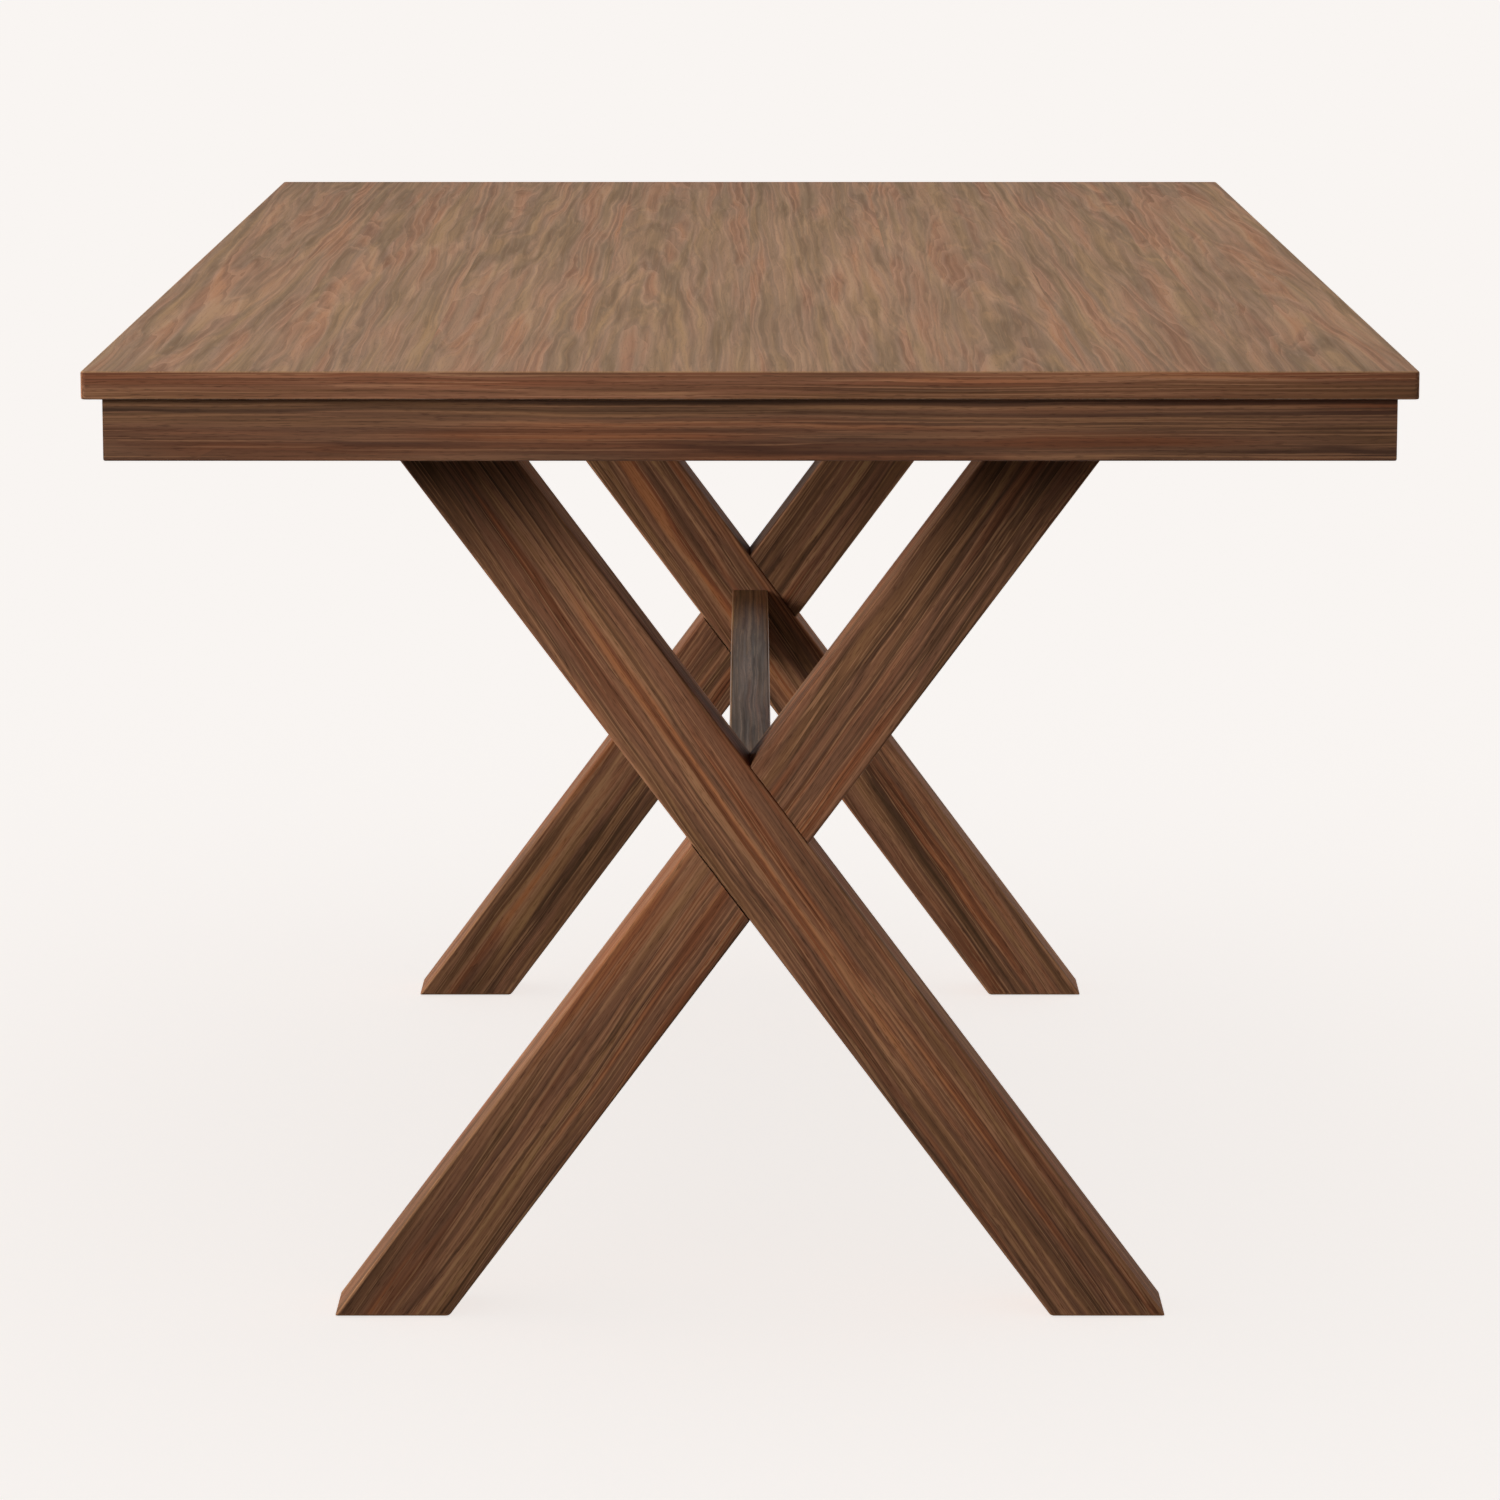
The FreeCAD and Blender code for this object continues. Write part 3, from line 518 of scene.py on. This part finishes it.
# Measured level, a leaning leg is wider by this factor.
LEVEL = math.sqrt(1 + SLOPE ** 2)
legs = {"front_outer_leg": 1, "front_inner_leg": -1, "rear_outer_leg": -1, "rear_inner_leg": 1}
for number, (node, way) in enumerate(legs.items()):
    low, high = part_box(node)
    timber = slab(leaning(low.z, high.z, LEG_WIDTH / 2 * LEVEL, way), low.y, high.y)
    ease(timber, LEG_EASE, lambda middle, along: abs(along.z) > 0.5 or middle.z < CROSSING / 2)
    # The notch lies behind the face that runs through, which looks outwards on two legs.
    through = -1 if node in ("front_outer_leg", "rear_inner_leg") else 1
    middle_y = (low.y + high.y) / 2
    other = leaning(CROSSING - NOTCH_REACH, CROSSING + NOTCH_REACH, (LEG_WIDTH / 2 + LAP_GAP) * LEVEL, -way)
    carve(timber, [slab(other, *sorted((middle_y, middle_y - through * LEG_WIDTH)))])
    # The grain of a sawn leg runs out of it at a small angle, different on each.
    along = (Vector((-way * SLOPE, 0, 1)).normalized() + Vector((RUN_OUT[number], 0, 0))).normalized()
    finished(node, timber, along, (along.z, 0, -along.x), LEG_HEART + number * LEG_STEP, leg_walnut)

# %% [markdown]
# ## The stretcher
# One slim rail joins the two crossings and keeps the frames upright. Below each end it has a pocket
# for the nut that draws it tight. The rail could be built up around its pockets, but cutting them out
# after the long edges are eased keeps it one plain board.

# %% Stretcher
RAIL_EASE, POCKET_WIDTH = 2 * MM, 22 * MM
POCKET = ((481.5 * MM, 515.5 * MM), 382 * MM)
RAIL_HEART = (700, 28, 40)
low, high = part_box("stretcher")
rail = slab([(low.x, low.z), (high.x, low.z), (high.x, high.z), (low.x, high.z)], low.y, high.y)
ease(rail, RAIL_EASE, lambda middle, way: abs(way.y) > 0.9)
(near, far), ceiling = POCKET
mouth = [(-POCKET_WIDTH / 2, low.z - RAIL_EASE), (POCKET_WIDTH / 2, low.z - RAIL_EASE),
         (POCKET_WIDTH / 2, ceiling), (-POCKET_WIDTH / 2, ceiling)]
carve(rail, [slab(mouth, near, far), slab(mouth, -far, -near)])
finished("stretcher", rail, (0, 1, 0), (1, 0, 0), RAIL_HEART, rail_walnut)

# %% [markdown]
# ## Finishes for the hidden pieces
# Under the top there are plain beech battens, cleats, blocks and dowels, a backing veneer against
# warping, the fibreboard core, felt pads under the feet and plated steel fixings. Their CAD shapes are
# right as they are, so they stay and only get a finish. Beech is the wood recipe again with pale
# shades, once for each direction in which pieces lie.

# %% Beech and backing veneer
# Planed beech is pale and even with short fine flecks; the backing is a dull sheet with little figure.
BEECH = ("#A98560", "#BD9870", "#C8A57F", "#D6B793")
turns = {"across": (0, 0, 0), "lengthwise": (0, 0, -90), "upright": (0, 90, 0), "to the right": (0, 0, -45),
         "to the left": (0, 0, 45)}
beech = {way: wood(f"Planed beech, grain {way}", BEECH, ring=2.6, sway=3, curl=3, stretch=1, rough=0.6,
                   depth=0.35, hues=("#FFEADC", "#EEF0E2"), turn=turn)
         for way, turn in turns.items()}
backing = wood("Sealed walnut backing veneer", ("#57402F", "#6B5040", "#785C4A", "#896C58"),
               ring=4.5, sway=8, curl=8, stretch=2, rough=0.6, depth=0.6, turn=(0, 0, -90))
print("beech finishes:", list(beech))

# %% [markdown]
# ## Steel, felt and fibreboard
# Bright zinc on steel is a thin grey coat with a faint blue and yellow play and fine cloudy spangle.
# Felt is pressed wool, so it is all short fibres with no gloss at all, and a little sheen at its edge.
# Fibreboard is wood dust pressed with resin: even, pale brown and slightly speckled. One fine noise sets
# the colour and the gloss of each, and the bump as well, except on threads. Pictures of the real stuff
# would do too, but they would show their seams up close.


# %% Steel, felt and fibreboard finishes
def zinc(name, pitch=None, way="Z"):
    """Zinc plated steel; a pitch in millimetres draws a screw thread along an axis."""
    material, tree = new_finish(name)
    place = add(tree, "ShaderNodeTexCoord").outputs["Object"]
    cloud = add(tree, "ShaderNodeTexNoise", {"Vector": place, "Scale": 1 / (1.6 * MM), "Detail": 3.0})
    colour = add(tree, "ShaderNodeValToRGB", {"Fac": cloud.outputs["Fac"]},
                 stops=[(0.3, "#B4B7BD"), (0.5, "#C6C8CA"), (0.7, "#D3D2CC")])
    worn = add(tree, "ShaderNodeMapRange", {"Value": cloud.outputs["Fac"], "From Min": 0.3, "From Max": 0.7,
                                            "To Min": 0.28, "To Max": 0.45})
    height = cloud.outputs["Fac"]
    if pitch:
        # One turn of the wave is a twentieth of a full circle at scale 1.
        height = add(tree, "ShaderNodeTexWave", {"Vector": place, "Scale": math.tau / 20 / (pitch * MM)},
                     bands_direction=way).outputs["Fac"]
    bump = add(tree, "ShaderNodeBump", {"Height": height, "Strength": 0.6 if pitch else 0.15,
                                        "Distance": 0.4 * MM if pitch else 0.05 * MM})
    metal = add(tree, "ShaderNodeBsdfPrincipled", {"Base Color": colour.outputs[0], "Metallic": 1.0,
                                                   "Roughness": worn.outputs[0], "Normal": bump.outputs[0]})
    add(tree, "ShaderNodeOutputMaterial", {"Surface": metal.outputs[0]})
    return material


def speckled(name, grain, codes, rough, sheen):
    """A matt stuff of small fibres or dust, as large as a grain in millimetres."""
    material, tree = new_finish(name)
    place = add(tree, "ShaderNodeTexCoord").outputs["Object"]
    dust = add(tree, "ShaderNodeTexNoise", {"Vector": place, "Scale": 1 / (grain * MM), "Detail": 4.0,
                                            "Roughness": 0.7}).outputs["Fac"]
    colour = add(tree, "ShaderNodeValToRGB", {"Fac": dust}, stops=[(0.3, codes[0]), (0.7, codes[1])])
    bump = add(tree, "ShaderNodeBump", {"Height": dust, "Strength": 0.5, "Distance": 0.3 * grain * MM})
    dull = add(tree, "ShaderNodeMapRange", {"Value": dust, "To Min": rough - 0.05, "To Max": rough + 0.05})
    stuff = add(tree, "ShaderNodeBsdfPrincipled",
                {"Base Color": colour.outputs[0], "Roughness": dull.outputs[0], "Specular IOR Level": 0.15,
                 "Sheen Weight": sheen, "Normal": bump.outputs[0]})
    add(tree, "ShaderNodeOutputMaterial", {"Surface": stuff.outputs[0]})
    return material


# Zinc gives cool cloudy highlights, felt a dark fibrous edge without shine, fibreboard a pale even dust.
plain_zinc = zinc("Zinc plated steel")
upright_thread = zinc("Zinc plated steel, upright thread", pitch=1.5, way="Z")
level_thread = zinc("Zinc plated steel, lengthwise thread", pitch=1.25, way="Y")
felt = speckled("Pressed wool felt", 1.4, ("#2B2621", "#4A423B"), rough=0.9, sheen=0.4)
fibreboard = speckled("Raw fibreboard", 1.0, ("#A38565", "#BA9C78"), rough=0.8, sheen=0.0)
print("steel finishes:", plain_zinc.name, upright_thread.name, level_thread.name)

# %% [markdown]
# ## Dressing the CAD pieces that stay
# Single pieces are listed by name, and repeated ones are found by the endings of their names. The grain
# runs the way a piece lies: across the table in battens and end cleats, lengthwise in side cleats,
# slanting in corner blocks. One long list would do as well, but it would repeat itself.

# %% Dress the CAD pieces
kept = {"top_backing_veneer": backing, "top_core_panel": fibreboard, "top_threaded_inserts": upright_thread,
        "leg_top_screws": upright_thread, "stretcher_hanger_bolts": level_thread,
        "leg_top_dowels": beech["upright"], "stretcher_dowels": beech["lengthwise"]}
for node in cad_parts:
    if node.endswith("batten") or node.endswith("end_cleat"):
        kept[node] = beech["across"]
    elif node.endswith("cleat"):
        kept[node] = beech["lengthwise"]
    elif node.endswith("corner_block"):
        kept[node] = beech["to the left" if node.startswith(("front_left", "rear_right")) else "to the right"]
    elif node.endswith("floor_pad"):
        kept[node] = felt
for node, finish in kept.items():
    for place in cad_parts[node].material_slots:
        place.material = finish
print("dressed CAD pieces:", len(kept))

# %% [markdown]
# ## Screws and bolts
# Twenty-eight wood screws hold the cleats and blocks, eight bolts hold the battens and two nuts hold
# the stretcher. Each kind is the same shape many times over, which is what Geometry Nodes are for: a
# tree builds one of them from named sizes and copies it to a list of points, each with the way it
# faces. Copies made in a loop would do too, but the tree can be opened and its sizes tried. The result
# is turned into a plain mesh at the end, because the export drops instances.


# %% Hardware helpers
def hardware_tree(name, sizes, counts=()):
    """An empty geometry tree with named sizes and counts, and the outputs of its input node."""
    tree = bpy.data.node_groups.new(name, "GeometryNodeTree")
    for way in ("INPUT", "OUTPUT"):
        tree.interface.new_socket("Geometry", in_out=way, socket_type="NodeSocketGeometry")
    for kind, names in (("NodeSocketFloat", sizes), ("NodeSocketInt", counts)):
        for socket in names:
            tree.interface.new_socket(socket, in_out="INPUT", socket_type=kind)
    return tree, add(tree, "NodeGroupInput").outputs


def set_out(tree, points, part, material):
    """Close a tree: copy a part to every point, turned the way that the point faces."""
    facing = add(tree, "GeometryNodeInputNamedAttribute", {"Name": "facing"}, data_type="FLOAT_VECTOR")
    turn = add(tree, "FunctionNodeAlignRotationToVector", {"Vector": facing.outputs[0]}, axis="Z")
    copies = add(tree, "GeometryNodeInstanceOnPoints",
                 {"Points": points, "Instance": part, "Rotation": turn.outputs[0]})
    real = add(tree, "GeometryNodeRealizeInstances", {"Geometry": copies.outputs[0]})
    done = add(tree, "GeometryNodeSetMaterial", {"Geometry": real.outputs[0], "Material": material})
    add(tree, "NodeGroupOutput", {"Geometry": done.outputs[0]})


def fit(name, tree, sizes, spots, nodes):
    """Run a tree on points in millimetres and put the result in the scene as a plain mesh."""
    points = bpy.data.meshes.new("points")
    points.from_pydata([Vector(place) * MM for place, way in spots], [], [])
    facing = points.attributes.new("facing", "FLOAT_VECTOR", "POINT")
    facing.data.foreach_set("vector", [value for place, way in spots for value in way])
    carrier = bpy.data.objects.new("carrier", points)
    bpy.context.scene.collection.objects.link(carrier)
    modifier = carrier.modifiers.new(tree.name, "NODES")
    modifier.node_group = tree
    for socket in tree.interface.items_tree:
        if socket.name in sizes:
            length = socket.socket_type == "NodeSocketFloat"
            modifier[socket.identifier] = sizes[socket.name] * (MM if length else 1)
    made = bpy.data.meshes.new_from_object(carrier.evaluated_get(bpy.context.evaluated_depsgraph_get()))
    bpy.data.objects.remove(carrier)
    made.name = name
    return placed(name, made, nodes)


fasteners = ("screws", "bolts", "washers", "nuts")
print("fasteners in the CAD:", [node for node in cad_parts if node.endswith(fasteners)])

# %% [markdown]
# ## Wood screws
# A wood screw here is a countersunk head with a cross recess, a shank and a point. The head is a cone
# and the recess is two small blocks cut out of it. A bump could draw the recess too, but only for the
# eye, and not in the mesh. All of it is drawn with the head's face at zero and the shank below, so the
# point in the list is the spot where the head meets the wood.

# %% Wood screw
screw_tree, size = hardware_tree("Countersunk screw", ("Head radius", "Shank radius", "Head depth",
                                                       "Shank length", "Recess width", "Recess gap"))
down = {part: add(screw_tree, "ShaderNodeMath", {0: size[part], 1: -1.0}, operation="MULTIPLY").outputs[0]
        for part in ("Head depth", "Shank length")}
head = add(screw_tree, "GeometryNodeMeshCone",
           {"Vertices": 24, "Radius Top": size["Head radius"], "Radius Bottom": size["Shank radius"],
            "Depth": size["Head depth"]})
drop = add(screw_tree, "ShaderNodeCombineXYZ", {"Z": down["Head depth"]})
head = add(screw_tree, "GeometryNodeTransform",
           {"Geometry": head.outputs[0], "Translation": drop.outputs[0]})
bars = []
for wide, narrow in (("Recess width", "Recess gap"), ("Recess gap", "Recess width")):
    bar = add(screw_tree, "ShaderNodeCombineXYZ",
              {"X": size[wide], "Y": size[narrow], "Z": size["Recess width"]})
    bars.append(add(screw_tree, "GeometryNodeMeshCube", {"Size": bar.outputs[0]}).outputs[0])
head = add(screw_tree, "GeometryNodeMeshBoolean", {"Mesh 1": head.outputs[0], "Mesh 2": bars},
           operation="DIFFERENCE", solver="EXACT")
shank = add(screw_tree, "GeometryNodeMeshCone",
            {"Vertices": 16, "Radius Top": size["Shank radius"], "Radius Bottom": 0.0,
             "Depth": size["Shank length"], "Side Segments": 4})
drop = add(screw_tree, "ShaderNodeCombineXYZ", {"Z": down["Shank length"]})
shank = add(screw_tree, "GeometryNodeTransform",
            {"Geometry": shank.outputs[0], "Translation": drop.outputs[0]})
screw = add(screw_tree, "GeometryNodeJoinGeometry", {"Geometry": [head.outputs[0], shank.outputs[0]]})
set_out(screw_tree, size["Geometry"], screw.outputs[0], plain_zinc)
print("nodes in one screw:", len(screw_tree.nodes))

# %% Set out the wood screws
# The spots are those of the CAD's holes. A cleat has one screw up into the top and one out into the
# apron, and a corner block has one up and one into each of its two aprons.
CLEAT_UP, CLEAT_OUT, CLEAT_PITCH, SHIFT = (427, 720), (416, 731), 400, 22.5
END_UP, END_OUT = (871.5, 720), (860.5, 731)
BLOCK_UP, BLOCK_SIDE, BLOCK_END = (424, 868.5, 720), (416, 852.5, 732), (408, 860.5, 716)
DOWN = (0, 0, -1)


def mirrored(spot, x, y):
    """A spot in another corner of the table."""
    return spot[0] * x, spot[1] * y, spot[2]


cleat_spots, block_spots = [], []
for x in (-1, 1):
    for y in (-CLEAT_PITCH, 0, CLEAT_PITCH):
        cleat_spots.append(((CLEAT_UP[0] * x, y + SHIFT, CLEAT_UP[1]), DOWN))
        cleat_spots.append(((CLEAT_OUT[0] * x, y - SHIFT, CLEAT_OUT[1]), (-x, 0, 0)))
    for y in (-1, 1):
        block_spots.append((mirrored(BLOCK_UP, x, y), DOWN))
        block_spots.append((mirrored(BLOCK_SIDE, x, y), (-x, 0, 0)))
        block_spots.append((mirrored(BLOCK_END, x, y), (0, -y, 0)))
for y in (-1, 1):
    cleat_spots.append(((SHIFT, END_UP[0] * y, END_UP[1]), DOWN))
    cleat_spots.append(((-SHIFT, END_OUT[0] * y, END_OUT[1]), (0, -y, 0)))
screw_sizes = {"Head radius": 4, "Shank radius": 2, "Head depth": 2, "Shank length": 33,
               "Recess width": 3.6, "Recess gap": 1.0}
fit("cleat_wood_screws", screw_tree, screw_sizes, cleat_spots, ["cleat_screws"])
fit("corner_block_wood_screws", screw_tree, screw_sizes, block_spots, ["corner_block_screws"])

# %% [markdown]
# ## Bolts and nuts on washers
# A bolt head and a nut are built the same way: a prism whose corners are turned off by a cone, with a
# hole in the middle, standing on a washer. A nut has six sides and its hole goes right through; the
# bolt has a round head with a hexagon socket and a shank. So one tree makes both from their sizes.

# %% Head on a washer
bolt_tree, size = hardware_tree("Head on a washer",
                                ("Head radius", "Head height", "Chamfer radius", "Hole radius", "Hole depth",
                                 "Washer radius", "Washer hole", "Washer height", "Shank radius",
                                 "Shank length"),
                                counts=("Head sides", "Hole sides", "Shanks"))
prism = add(bolt_tree, "GeometryNodeMeshCone",
            {"Vertices": size["Head sides"], "Radius Top": size["Head radius"],
             "Radius Bottom": size["Head radius"], "Depth": size["Head height"]})
wide = add(bolt_tree, "ShaderNodeMath", {0: size["Chamfer radius"], 1: size["Head height"]}, operation="ADD")
turned = add(bolt_tree, "GeometryNodeMeshCone",
             {"Vertices": 48, "Radius Top": size["Chamfer radius"], "Radius Bottom": wide.outputs[0],
              "Depth": size["Head height"]})
head = add(bolt_tree, "GeometryNodeMeshBoolean", {"Mesh 2": [prism.outputs[0], turned.outputs[0]]},
           operation="INTERSECT", solver="EXACT")
bore = add(bolt_tree, "GeometryNodeMeshCylinder",
           {"Vertices": size["Hole sides"], "Radius": size["Hole radius"], "Depth": size["Hole depth"]})
lift = add(bolt_tree, "ShaderNodeCombineXYZ", {"Z": size["Head height"]})
bore = add(bolt_tree, "GeometryNodeTransform", {"Geometry": bore.outputs[0], "Translation": lift.outputs[0]})
head = add(bolt_tree, "GeometryNodeMeshBoolean", {"Mesh 1": head.outputs[0], "Mesh 2": [bore.outputs[0]]},
           operation="DIFFERENCE", solver="EXACT")
lift = add(bolt_tree, "ShaderNodeCombineXYZ", {"Z": size["Washer height"]})
head = add(bolt_tree, "GeometryNodeTransform", {"Geometry": head.outputs[0], "Translation": lift.outputs[0]})
print("nodes in the head:", len(bolt_tree.nodes))

# %% Washer and shank under the head
PUNCH = 100 * MM
disc = add(bolt_tree, "GeometryNodeMeshCone",
           {"Vertices": 48, "Radius Top": size["Washer radius"], "Radius Bottom": size["Washer radius"],
            "Depth": size["Washer height"]})
gap = add(bolt_tree, "GeometryNodeMeshCylinder",
          {"Vertices": 32, "Radius": size["Washer hole"], "Depth": PUNCH})
washer = add(bolt_tree, "GeometryNodeMeshBoolean", {"Mesh 1": disc.outputs[0], "Mesh 2": [gap.outputs[0]]},
             operation="DIFFERENCE", solver="EXACT")
shank = add(bolt_tree, "GeometryNodeMeshCone",
            {"Vertices": 24, "Radius Top": size["Shank radius"], "Radius Bottom": size["Shank radius"],
             "Depth": size["Shank length"]})
sunk = add(bolt_tree, "ShaderNodeMath", {0: size["Washer height"], 1: size["Shank length"]},
           operation="SUBTRACT")
sunk = add(bolt_tree, "ShaderNodeCombineXYZ", {"Z": sunk.outputs[0]})
shank = add(bolt_tree, "GeometryNodeTransform",
            {"Geometry": shank.outputs[0], "Translation": sunk.outputs[0]})
shank = add(bolt_tree, "GeometryNodeSwitch", {"Switch": size["Shanks"], "True": shank.outputs[0]},
            input_type="GEOMETRY")
whole = add(bolt_tree, "GeometryNodeJoinGeometry",
            {"Geometry": [head.outputs[0], washer.outputs[0], shank.outputs[0]]})
set_out(bolt_tree, size["Geometry"], whole.outputs[0], plain_zinc)
print("nodes in the whole tree:", len(bolt_tree.nodes))

# %% Set out the bolts and nuts
# A hexagon's corners lie further out than its flats by this factor.
CORNERS = 2 / math.sqrt(3)
BOLT_ROWS, BOLT_PLACES, BATTEN_LOW = (-592.5, 592.5), (-367.95, -105.1, 105.1, 367.95), 712
NUT_ROWS, RAIL_MIDDLE = (-515.5, 515.5), 371
bolt_spots = [((x, y, BATTEN_LOW), DOWN) for y in BOLT_ROWS for x in BOLT_PLACES]
nut_spots = [((0, y, RAIL_MIDDLE), (0, -math.copysign(1, y), 0)) for y in NUT_ROWS]
bolt_sizes = {"Head radius": 5.25, "Head height": 3.3, "Chamfer radius": 4.0, "Hole radius": 2 * CORNERS,
              "Hole depth": 4, "Washer radius": 9, "Washer hole": 3.2, "Washer height": 1.6,
              "Shank radius": 3, "Shank length": 40.6, "Head sides": 32, "Hole sides": 6, "Shanks": 1}
nut_sizes = {"Head radius": 6.5 * CORNERS, "Head height": 6.5, "Chamfer radius": 6.3, "Hole radius": 4.1,
             "Hole depth": 15, "Washer radius": 8.5, "Washer hole": 4.2, "Washer height": 1.6,
             "Shank radius": 4, "Shank length": 10, "Head sides": 6, "Hole sides": 32, "Shanks": 0}
fit("batten_bolt_heads", bolt_tree, bolt_sizes, bolt_spots, ["batten_bolts", "batten_washers"])
fit("stretcher_hex_nuts", bolt_tree, nut_sizes, nut_spots, ["stretcher_nuts", "stretcher_washers"])

# %% [markdown]
# ## Floor and background
# The table stands on a pale floor that runs on into a background of the same colour. What the camera
# and reflections see of the floor is mostly its own colour, and the rest is lit by the sky alone, so it
# stays even and keeps a soft shadow under the table. Other light that comes off it towards the table is
# weaker. A lit white floor would also do, but then each lamp would leave a bright patch on it.

# %% Floor
PAPER, SKY, BOUNCE, FAR = "#F9F5F2", 0.2, 0.1, 60


def showing(tree):
    """1 for rays that show the background: from the camera, in a gloss or through glass."""
    path = add(tree, "ShaderNodeLightPath").outputs
    share = path["Is Camera Ray"]
    for kind in ("Is Glossy Ray", "Is Transmission Ray"):
        share = add(tree, "ShaderNodeMath", {0: share, 1: path[kind]}, operation="MAXIMUM").outputs[0]
    return share


floor_mesh = bpy.data.meshes.new("floor")
floor_mesh.from_pydata([(-FAR, -FAR, 0), (FAR, -FAR, 0), (FAR, FAR, 0), (-FAR, FAR, 0)], [], [(0, 1, 2, 3)])
floor = bpy.data.objects.new("floor", floor_mesh)
bpy.context.scene.collection.objects.link(floor)
paper, tree = new_finish("Pale paper floor")
lit = add(tree, "ShaderNodeBsdfDiffuse", {"Color": linear(PAPER)})
glow = add(tree, "ShaderNodeEmission", {"Color": linear(PAPER), "Strength": 1 - SKY})
seen = add(tree, "ShaderNodeAddShader", {0: glow.outputs[0], 1: lit.outputs[0]})
unseen = add(tree, "ShaderNodeEmission", {"Color": linear(PAPER), "Strength": BOUNCE})
both = add(tree, "ShaderNodeMixShader", {0: showing(tree), 1: unseen.outputs[0], 2: seen.outputs[0]})
add(tree, "ShaderNodeOutputMaterial", {"Surface": both.outputs[0]})
floor_mesh.materials.append(paper)
print("floor:", PAPER, "and", 2 * FAR, "m wide")

# %% World
world = bpy.data.worlds.new("Studio")
bpy.context.scene.world = world
world.use_nodes = True
tree = world.node_tree
tree.nodes.clear()
soft = add(tree, "ShaderNodeBackground", {"Color": linear("#FFFFFF"), "Strength": SKY})
back = add(tree, "ShaderNodeBackground", {"Color": linear(PAPER), "Strength": 1.0})
both = add(tree, "ShaderNodeMixShader", {0: showing(tree), 1: soft.outputs[0], 2: back.outputs[0]})
add(tree, "ShaderNodeOutputWorld", {"Surface": both.outputs[0]})
print("world:", PAPER, "behind, and a sky of", SKY)

# %% [markdown]
# ## Lamps and camera
# A soft lamp stands in front on the left, with a grid that narrows its beam, so that the feet and the
# far end fall into shade. A second one on the left lights the upper sides of the legs, and a wide one
# hangs above the top. Two small ones, on the right and behind, keep those sides from going black. The
# lamps at the sides and behind are left out of reflections, where they would put hard glints on the
# legs and the rail. A brighter sky would fill the shade as well, but it would flatten the legs. Light
# linking keeps all five off the floor. The camera looks at the end of the table from a little above,
# with a long lens.


# %% Lamps
off_floor = bpy.data.collections.new("Floor kept out of the lamps")
off_floor.objects.link(floor)


def lamp(name, place, aim, size, power, spread=180, gloss=True):
    """A square soft lamp, aimed at a point, that leaves the floor alone; its spread is in degrees."""
    light = bpy.data.lights.new(name, "AREA")
    light.size, light.energy, light.spread = size, power, math.radians(spread)
    stand = bpy.data.objects.new(name, light)
    stand.location = place
    stand.rotation_euler = (Vector(aim) - Vector(place)).to_track_quat("-Z", "Y").to_euler()
    bpy.context.scene.collection.objects.link(stand)
    stand.light_linking.receiver_collection = off_floor
    stand.visible_glossy = gloss
    return stand


lamps = [lamp("key_lamp", (-2.6, -3.6, 1.9), (-0.2, -0.8, 0.98), 1.6, 8.6, spread=31),
         lamp("left_lamp", (-3.4, 0.4, 0.8), (0, 0, 0.4), 1.2, 105, gloss=False),
         lamp("overhead_lamp", (-0.6, 0.2, 3.4), (0, 0, 0.7), 3.0, 53),
         lamp("right_lamp", (3.4, 0.6, 0.45), (0, 0, 0.4), 0.8, 26, gloss=False),
         lamp("back_lamp", (1.6, 3.9, 0.38), (0, 0.5, 0.38), 0.7, 40, gloss=False)]
off_floor.collection_objects[0].light_linking.link_state = "EXCLUDE"
print("lamps:", [stand.name for stand in lamps])

# %% Camera
SENSOR, FOCAL_PIXELS, PICTURE_PIXELS = 36, 5880, 1500
EYE, TILT = (0, -5.0216, 1.1924), 9.667
camera = bpy.data.cameras.new("camera")
camera.sensor_width = SENSOR
camera.lens = SENSOR * FOCAL_PIXELS / PICTURE_PIXELS
eye = bpy.data.objects.new("camera", camera)
eye.location = EYE
eye.rotation_euler = (math.radians(90 - TILT), 0, 0)
bpy.context.scene.collection.objects.link(eye)
bpy.context.scene.camera = eye
bpy.context.scene.view_settings.view_transform = "Standard"
print("camera:", round(camera.lens, 1), "mm lens, tilted down by", TILT, "degrees")
